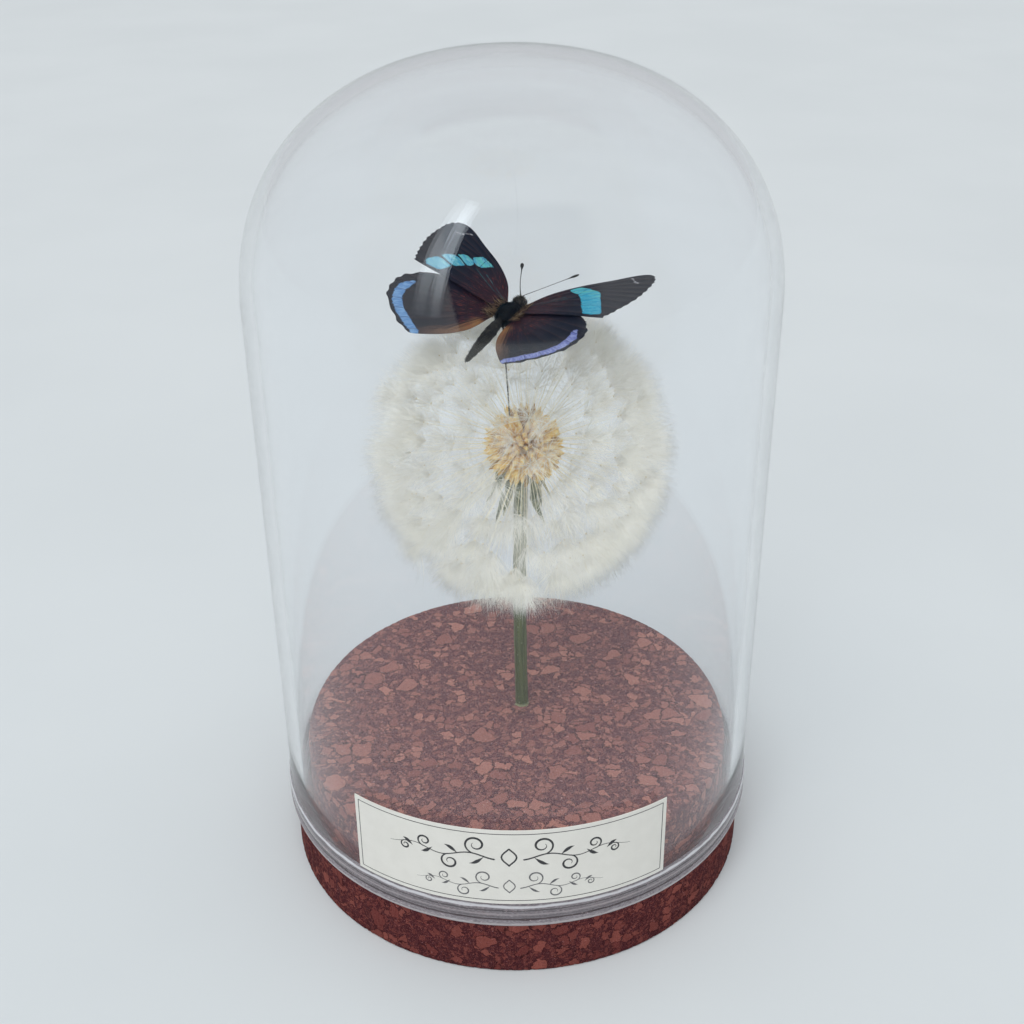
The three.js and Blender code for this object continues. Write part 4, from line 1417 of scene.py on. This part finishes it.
def wing_place(side, ahead, height, skew, drawn_out=0.0):
    """From the wing's own plane to the frame, as in the CAD model."""
    raised = side * (LEFT_RAISE if side > 0 else RIGHT_RAISE)
    hinge = (ahead, side * (WING_HINGE + drawn_out), 0)
    return (
        BUTTERFLY
        @ Matrix.Translation(Vector(hinge) * MM)
        @ Matrix.Rotation(raised, 4, "X")
        @ Matrix.Translation(Vector((0, 0, height + PLATE_MIDDLE)) * MM)
        @ Matrix.Rotation(math.radians(skew), 4, "Z")
    )


def camber(ahead, out, to_vein):
    """Height of the sheet above its plane: a shallow dome with pleats between the veins."""
    reach = np.hypot(ahead, out) / 22
    dome = 0.55 * np.sin(math.pi * reach.clip(0, 1)) * (0.6 + 0.4 * np.cos(0.28 * ahead))
    return dome - 0.09 * (1 - np.exp(-((to_vein / 0.45) ** 2))) * (reach * 3).clip(0, 1)


# %% Building a wing
def build_wing(name, wing, side, place, node_name, band=(), shift=0.0):
    edge = wing_edge(wing)
    veins = [spline(row, 5 * (len(row) - 1)) for row in wing["veins"]]
    back = spline(wing["back"], 24)
    across = 150
    bpy.ops.mesh.primitive_grid_add(x_subdivisions=across, y_subdivisions=56, size=1)
    sheet = bpy.context.object
    grid = points_of(sheet)
    steps = np.linspace(0, len(edge) - 1, across + 1)
    places = np.stack([np.interp(steps, np.arange(len(edge)), edge[:, k]) for k in (0, 1)], axis=1)
    column = np.rint((grid[:, 0] + 0.5) * across).astype(int)
    share = (grid[:, 1] + 0.5)[:, None]
    plane = places[column] * share
    to_vein = np.min([distance_to_line(plane, vein) for vein in veins], axis=0)
    top = camber(plane[:, 0], plane[:, 1], to_vein)
    points = np.stack([plane[:, 0], side * plane[:, 1], top], axis=1)
    move_points(sheet, points * MM)

    flipped = plane[:, ::-1]
    is_fore = wing is FOREWING
    far = np.full(len(plane), 9.0)
    cells = np.min([far] + [depth_in_outline(flipped, np.array(cell)) for cell in band], axis=0)
    streak = distance_to_line(flipped, np.array(WHITE_STREAK)) - 0.15
    blue_line = spline(BLUE_BAND, 40) - [shift, 0]
    blue = distance_to_line(flipped, blue_line) - 0.72 - 0.018 * (flipped[:, 0] - 8.0).clip(0, 9)
    blue += 0.25 * (flipped[:, 1] + 6.0).clip(0, 2)
    teal = np.min([distance_to_line(flipped, spline(line, 12)) for line in TEAL_LINES], axis=0)
    inner = distance_to_line(plane, back)
    distances = {
        "vein": to_vein,
        "band": cells - 0.08,
        "streak": streak if is_fore else far,
        "blue": far if is_fore else blue,
        "teal": teal if is_fore else far,
        "inner": inner + 2.2 if is_fore else inner,
        "lilac": np.full(len(plane), 0.15 if side > 0 else 0.95),
    }
    set_attribute(sheet, "plane", np.column_stack([flipped, 0 * top]), "FLOAT_VECTOR")
    for attribute_name, values in distances.items():
        set_attribute(sheet, attribute_name, values)

    start_editing(sheet)
    bpy.ops.mesh.select_all(action="SELECT")
    bpy.ops.mesh.remove_doubles(threshold=0.01 * MM)
    stop_editing()
    sheet.data.materials.append(wing_top_look)
    sheet.data.materials.append(wing_under_look)
    facing_up = np.mean([face.normal.z for face in sheet.data.polygons]) > 0
    if not facing_up:
        start_editing(sheet)
        bpy.ops.mesh.select_all(action="SELECT")
        bpy.ops.mesh.flip_normals()
        stop_editing()
    add_modifier(sheet, "SOLIDIFY", thickness=WING_THICKNESS * MM, offset=0, material_offset=1)

    rods = []
    for vein in veins:
        lift = camber(vein[:, 0], vein[:, 1], np.zeros(len(vein)))
        path = [Vector((x, side * y, z)) for (x, y), z in zip(vein, lift)]
        reach = np.hypot(vein[:, 0], vein[:, 1])
        radii = 0.08 - 0.05 * (reach / 21).clip(0, 1)
        rod = sweep(path, list(radii), sides=6)
        rod.data.materials.append(vein_look)
        rods.append(rod)
    select_only(*rods, sheet)
    bpy.ops.object.join()
    sheet.matrix_world = place
    return finish_piece(sheet, name, [], "wing", node_name, smooth=40)


vein_look = mottled_look(
    "wing_vein", 1.2, (0.010, 0.008, 0.010, 1), (0.032, 0.018, 0.018, 1), Roughness=0.7,
    Specular_IOR_Level=0.15
)[0]

FORE_HEIGHT = 0.05
HIND_HEIGHT = -0.55
build_wing("left_front_wing", FOREWING, 1, wing_place(1, FOREWING_AHEAD, FORE_HEIGHT, -2.9),
           "left_forewing", LEFT_BAND)
build_wing("right_front_wing", FOREWING, -1, wing_place(-1, FOREWING_AHEAD, FORE_HEIGHT, -3.8),
           "right_forewing", RIGHT_BAND)
build_wing("left_back_wing", HINDWING, 1, wing_place(1, 0, HIND_HEIGHT, -2.45, 0.5), "left_hindwing",
           shift=0.3)
build_wing("right_back_wing", HINDWING, -1, wing_place(-1, 0, HIND_HEIGHT, -2.45), "right_hindwing")

# %% [markdown]
# ## Butterfly: body
#
# Thorax and head are stretched spheres with a waist where plates meet, and the abdomen is a spindle with
# a groove between segments. Bulging eyes sit on the sides of the head. Then everything is covered in
# short fur, which gives an insect its soft outline: green-black on the back, with pale and tan hairs.

# %% Looks: body, eyes and fur
body_look, tree, shader, place, grain, colour = mottled_look(
    "black_body", 1.5, (0.008, 0.009, 0.007, 1), (0.03, 0.026, 0.018, 1), Roughness=0.55
)
set_bump(tree, shader, grain, 0.05, 0.8)

eye_look, tree, shader, place, grain, colour = mottled_look(
    "compound_eye", 1.0, (0.012, 0.009, 0.008, 1), (0.035, 0.024, 0.018, 1), Roughness=0.25,
    Coat_Weight=0.4
)
facets = node(tree, "ShaderNodeTexVoronoi", {"Vector": place, "Scale": 9.0}).outputs["Distance"]
set_bump(tree, shader, facets, 0.02, 0.8)


def fur_look(name, dark, mid, light, light_share):
    look, tree, shader = new_look(name, Roughness=0.5, Specular_IOR_Level=0.25)
    tone = attribute(tree, "tone")
    patches, grain = add_mottle(tree, object_millimetres(tree), 0.8)
    colour = blend(tree, ramp(tree, patches, 0.4, 0.6), dark, mid)
    colour = blend(tree, ramp(tree, tone, 1 - light_share - 0.05, 1 - light_share + 0.05), colour, light)
    paint(tree, shader, colour)
    return look


back_fur = fur_look("green_black_fur", (0.003, 0.006, 0.006, 1), (0.003, 0.020, 0.020, 1),
                    (0.06, 0.055, 0.03, 1), 0.08)
head_fur = fur_look("pale_tipped_fur", (0.015, 0.014, 0.010, 1), (0.05, 0.045, 0.03, 1),
                    (0.34, 0.29, 0.20, 1), 0.16)
tail_fur = fur_look("brown_fur", (0.008, 0.007, 0.007, 1), (0.016, 0.014, 0.012, 1),
                    (0.15, 0.13, 0.10, 1), 0.12)
root_fur = fur_look("tan_root_fur", (0.03, 0.02, 0.012, 1), (0.12, 0.07, 0.035, 1),
                    (0.40, 0.28, 0.15, 1), 0.4)


# %% Thorax, head and eyes
def stretched_ball(size, place, squeeze):
    """A sphere scaled to a size, with rings squeezed at some places along it."""
    bpy.ops.mesh.primitive_uv_sphere_add(segments=40, ring_count=28, radius=0.5)
    ball = bpy.context.object
    ball.rotation_euler.y = math.pi / 2
    bpy.ops.object.transform_apply(rotation=True)
    ball.scale = [value * MM for value in size]
    bpy.ops.object.transform_apply(scale=True)
    for where, factor in squeeze:
        start_editing(ball)
        pick(ball, "VERT", lambda v: abs(v.co.x / MM - where) < 0.09 * size[0])
        bpy.ops.transform.resize(value=(1, factor, factor))
        stop_editing()
    ball.matrix_world = BUTTERFLY @ Matrix.Translation(Vector(place) * MM)
    return ball


HEAD_AHEAD = 4.0
thorax = stretched_ball((5.4, 3.0, 3.3), (0, 0, 0), [(1.6, 0.9), (-1.3, 0.94)])
thorax = finish_piece(thorax, "butterfly_thorax", [body_look], "insect_body", "thorax", smooth=60)
head = stretched_ball((2.0, 2.1, 2.0), (HEAD_AHEAD - 0.3, 0, 0), [])
head = finish_piece(head, "butterfly_head", [body_look], "insect_body", "head", smooth=60)
eyes = []
for side in (-1, 1):
    bpy.ops.mesh.primitive_uv_sphere_add(segments=24, ring_count=16, radius=0.5)
    eye = bpy.context.object
    eye.scale = (1.25 * MM, 0.85 * MM, 1.35 * MM)
    bpy.ops.object.transform_apply(scale=True)
    eye.matrix_world = BUTTERFLY @ Matrix.Translation(Vector((HEAD_AHEAD - 0.05, 0.86 * side, 0.12)) * MM)
    eyes.append(eye)
select_only(*eyes)
bpy.ops.object.join()
finish_piece(bpy.context.object, "butterfly_eyes", [eye_look], "insect_body", "head", smooth=60)

# %% Abdomen, feelers, tongue and legs
ABDOMEN_BEHIND = 3.0
ABDOMEN_DROOP = math.radians(13)
ABDOMEN_SWING = math.radians(-5)  # it dried a little to one side
ABDOMEN_PROFILE = [
    (0.6, 0.45), (0.85, -0.6), (0.98, -2.0), (0.98, -3.4), (0.88, -5.0), (0.72, -6.6), (0.54, -8.0),
    (0.34, -9.1), (0.12, -9.5),
]
profile = spline(ABDOMEN_PROFILE, 56)
radii = [radius * (1 - 0.07 * abs(math.cos(math.pi * x / 1.35)) ** 8) for radius, x in profile]
abdomen = sweep([Vector((x, 0, 0)) for _, x in profile], radii, sides=28)
abdomen.matrix_world = (
    BUTTERFLY
    @ Matrix.Translation(Vector((-ABDOMEN_BEHIND, 0, 0)) * MM)
    @ Matrix.Rotation(ABDOMEN_SWING, 4, "Z")
    @ Matrix.Rotation(-ABDOMEN_DROOP, 4, "Y")
)
abdomen = finish_piece(abdomen, "butterfly_abdomen", [body_look], "insect_body", "abdomen", smooth=60)

for side_name, side, spread in (("left", 1, 31), ("right", -1, 39)):
    reach = np.array([0, 2, 4, 6, 7.6, 8.3, 8.8, 9.3, 9.7, 9.95])
    wave = 0.12 * np.sin(0.5 * reach)
    path = [Vector((x, side * y, 0.5 * y)) for x, y in zip(reach - 0.5 * (reach < 0.1), wave)]
    feeler = sweep(path, [0.1, 0.075, 0.07, 0.07, 0.09, 0.17, 0.3, 0.34, 0.26, 0.08], sides=12,
                   flatten=0.7 if side > 0 else 0.42)
    feeler.matrix_world = (
        BUTTERFLY
        @ Matrix.Translation(Vector((HEAD_AHEAD + 1.15, 0.55 * side, 0.95)) * MM)
        @ Matrix.Rotation(side * math.radians(spread), 4, "Z")
        @ Matrix.Rotation(math.radians(-4), 4, "Y")
    )
    finish_piece(feeler, f"{side_name}_feeler", [body_look], "insect_body", f"{side_name}_antenna",
                 smooth=60)
    for leg_name, hip, drop in (("middle", 1.3, 0.45), ("hind", -0.9, 0.0)):
        route = spline(
            [(hip, side * 0.75, -1.4), (hip + 0.6, side * 2.0, -2.3 - drop),
             (hip - 0.6, side * 2.5, -2.35 - drop), (hip - 1.5, side * 1.3, -2.5 - drop),
             (hip - 2.4, side * 0.9, -2.55 - drop)], 20)
        leg = sweep([Vector(point) for point in route],
                    [0.17 - 0.005 * i - 0.03 * (i % 5 == 0) for i in range(21)], sides=8)
        leg.matrix_world = BUTTERFLY
        finish_piece(leg, f"{side_name}_{leg_name}_folded_leg", [body_look], "insect_body",
                     f"{side_name}_{leg_name}_leg", smooth=60)

TONGUE_STEPS = 44
coil = []
for t in np.linspace(0, 3 * math.pi, TONGUE_STEPS):
    reach = 0.3 + 0.045 * t
    coil.append(Vector((HEAD_AHEAD + 0.5 + reach * math.cos(t), 0, -1.95 + reach * math.sin(t))))
tongue = sweep(coil, list(np.linspace(0.05, 0.09, TONGUE_STEPS)), sides=8)
tongue.matrix_world = BUTTERFLY
finish_piece(tongue, "coiled_tongue", [body_look], "insect_body", "tongue", smooth=60)

# %% [markdown]
# ## Butterfly: fur
#
# Fur grows from points picked at random on a piece, more on its large faces than on its small ones. Hairs
# lean towards the tail, and a little noise keeps them from lying like a comb.


# %% Fur
def steady_triangles(piece):
    """The corners of a mesh's triangles in millimetres, in an order that each run gives.

    Blender numbers the faces of a sphere or a sweep anew each run, and fur picks faces by number.
    """
    points = np.round(points_of(piece) / MM, 4).tolist()
    triangles = []
    for face in piece.data.polygons:
        ring = [points[number] for number in face.vertices]
        first = ring.index(min(ring))
        ring = ring[first:] + ring[:first]
        triangles += [[ring[0], *pair] for pair in zip(ring[1:], ring[2:])]
    return np.array(sorted(triangles)).transpose(1, 0, 2)


def grow_fur(name, look, piece, node_name, count, length, lie, stand, width=0.06):
    """Hairs on a finished piece. lie is where they lean, and stand is how much they stand up."""
    a, b, c = steady_triangles(piece)
    normals = np.cross(b - a, c - a)
    areas = np.linalg.norm(normals, axis=1)
    chosen = dice.choice(len(a), count, p=areas / areas.sum())
    u, v = dice.uniform(0, 1, (2, count))
    folded = u + v > 1
    u, v = np.where(folded, 1 - u, u)[:, None], np.where(folded, 1 - v, v)[:, None]
    roots = a[chosen] + u * (b - a)[chosen] + v * (c - a)[chosen]
    up = unit(normals[chosen])
    lean = np.array(BUTTERFLY.to_3x3() @ Vector(lie))
    ways = unit(up * stand + lean + dice.normal(0, 0.3, (count, 3)))
    lengths = length * dice.uniform(0.5, 1.2, count)
    bends = lean * (0.35 * lengths)[:, None] - up * (0.12 * lengths)[:, None]
    fur = bristles(name, roots - 0.05 * up, ways, lengths, bends, width * dice.uniform(0.7, 1.3, count))
    finish_piece(fur, name, [look], "insect_body", node_name)


grow_fur("thorax_fur", back_fur, thorax, "thorax", 4200, 0.72, (-0.8, 0, 0.1), 0.8)
grow_fur("head_fur", head_fur, head, "head", 1300, 0.6, (0.1, 0, 0.4), 1.0)
grow_fur("abdomen_fur", tail_fur, abdomen, "abdomen", 3400, 0.45, (-1.3, 0, 0), 0.35, width=0.05)

ROOT_TUFTS = 260
for side_name, side in (("left", 1), ("right", -1)):
    place = wing_place(side, 0.8, -0.2, 0)
    local = np.stack([dice.uniform(-3.2, 2.2, ROOT_TUFTS), side * dice.uniform(0.0, 1.4, ROOT_TUFTS),
                      np.full(ROOT_TUFTS, 0.35)], axis=1)
    roots = np.array([place @ (Vector(point) * MM) for point in local]) / MM
    out_way = np.array(place.to_3x3() @ Vector((-0.25, side, 0.22)))
    ways = unit(out_way + dice.normal(0, 0.28, (ROOT_TUFTS, 3)))
    tufts = bristles("tufts", roots, ways, dice.uniform(0.6, 2.0, ROOT_TUFTS),
                     dice.normal(0, 0.12, (ROOT_TUFTS, 3)), np.full(ROOT_TUFTS, 0.06))
    finish_piece(tufts, f"{side_name}_wing_root_fur", [root_fur], "insect_body", f"{side_name}_hindwing")

# %% [markdown]
# ## Floor, lights and world
#
# The floor is pale and plain, and so wide that it fills the view. A large soft sun and a dim world light
# everything evenly through the glass. Two tall soft boxes stand side by side to the left, and show in the
# glass as faint upright reflections. A dark cloth hangs in front, where only the glass sees it: what the
# glass mirrors there is dark, so the butterfly behind it stays clear. The cloth fades out at two edges.

# %% Floor
floor_look = mottled_look(
    "pale_floor", 0.01, (0.640, 0.679, 0.696, 1), (0.660, 0.699, 0.716, 1), 0.3, 0.7, Roughness=0.7,
    Specular_IOR_Level=0.2
)[0]
bpy.ops.mesh.primitive_circle_add(vertices=96, radius=12, fill_type="NGON")
floor = bpy.context.object
floor.name = "floor"
floor.data.materials.append(floor_look)
floor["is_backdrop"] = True


# %% Lights
def aim(thing, place, target):
    thing.location = place
    thing.rotation_euler = (Vector(target) - Vector(place)).to_track_quat("-Z", "Y").to_euler()


def soft_box(place, target, width, height, power):
    """An upright rectangle of light that is dim at its foot and a little dim at its top."""
    bpy.ops.object.light_add(type="AREA")
    box = bpy.context.object
    box.data.shape = "RECTANGLE"
    box.data.size = width
    box.data.size_y = height
    box.data.energy = power
    box.data.color = (0.84, 0.93, 1.0)
    box.data.use_nodes = True
    tree = box.data.node_tree
    on_box = node(tree, "ShaderNodeNewGeometry").outputs["Parametric"]
    split = node(tree, "ShaderNodeSeparateXYZ", {"Vector": on_box})
    foot = maths(tree, "MULTIPLY_ADD", ramp(tree, split.outputs["Y"], 0.0, 0.5), 0.85, 0.15)
    top = maths(tree, "MULTIPLY_ADD", ramp(tree, split.outputs["Y"], 1.0, 0.75), 0.6, 0.4)
    tree.links.new(maths(tree, "MULTIPLY", foot, top), tree.nodes["Emission"].inputs["Strength"])
    aim(box, place, target)


bpy.ops.object.light_add(type="SUN")
sun = bpy.context.object
sun.data.energy = 1.3
sun.data.angle = math.radians(50)
sun.data.color = (1.0, 0.98, 0.95)
sun.visible_glossy = False
sun.visible_transmission = False
aim(sun, (-0.3, -0.9, 1.6), (0, 0, 0))
BOX_TARGET = (0, 0, 0.09)
BOX_HEIGHT = 1.4
soft_box((-0.523, -0.867, 0.9), BOX_TARGET, 0.1, BOX_HEIGHT, 1.5)
soft_box((-0.613, -0.805, 0.9), BOX_TARGET, 0.125, BOX_HEIGHT, 1.2)

# %% Dark cloth
bpy.ops.mesh.primitive_plane_add(size=1)
flag = bpy.context.object
flag.name = "dark_flag"
flag.scale = (2.0, 2.4, 1)
aim(flag, (0.19, -1.35, 1.0), (0, 0, 0.1))
flag_look, tree, shader, place, grain, colour = mottled_look(
    "dark_cloth", 0.01, (0.02, 0.04, 0.11, 1), (0.035, 0.065, 0.15, 1), 0.3, 0.7, Roughness=0.9
)
GLASS_FACES = 2.5  # a ray that has passed two faces of glass is inside the dome, and more take it out
crossings = node(tree, "ShaderNodeLightPath").outputs["Transmission Depth"]
beyond = maths(tree, "GREATER_THAN", crossings, GLASS_FACES)
split = node(tree, "ShaderNodeSeparateXYZ", {"Vector": place})
right_edge = ramp(tree, split.outputs["X"], 250, 500)
both_ends = ramp(tree, maths(tree, "ABSOLUTE", split.outputs["Y"]), 400, 500)
beyond = maths(tree, "MAXIMUM", beyond, maths(tree, "MAXIMUM", right_edge, both_ends))
clear = node(tree, "ShaderNodeBsdfTransparent")
mixed = node(tree, "ShaderNodeMixShader", {0: beyond, 1: shader.outputs[0], 2: clear.outputs[0]})
tree.links.new(mixed.outputs[0], tree.nodes["Material Output"].inputs["Surface"])
flag.data.materials.append(flag_look)
flag.visible_camera = False
flag.visible_diffuse = False
flag.visible_shadow = False
flag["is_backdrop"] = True

# %% World
world = bpy.data.worlds.new("studio")
world.use_nodes = True
tree = world.node_tree
way = node(tree, "ShaderNodeTexCoord").outputs["Generated"]
height = node(tree, "ShaderNodeSeparateXYZ", {"Vector": way}).outputs["Z"]
sky = blend(tree, ramp(tree, height, 0.0, 0.9), (0.90, 0.94, 0.98, 1), (0.97, 0.99, 1.02, 1))
tree.links.new(sky, tree.nodes["Background"].inputs["Color"])
tree.nodes["Background"].inputs["Strength"].default_value = 0.65
bpy.context.scene.world = world
bpy.context.scene.view_settings.view_transform = "Standard"
bpy.context.scene.cycles.diffuse_bounces = 12
bpy.context.scene.cycles.transparent_max_bounces = 24  # light crosses many hairs of down

# %% [markdown]
# ## The two boxes
#
# The CAD model's box and the finished look's box are printed side by side.

bpy.context.view_layer.update()
boxes = {"cad": CAD_BOX, "visual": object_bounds()}
for name, box in boxes.items():
    print(name, [round(value / MM, 2) for corner in box for value in corner])
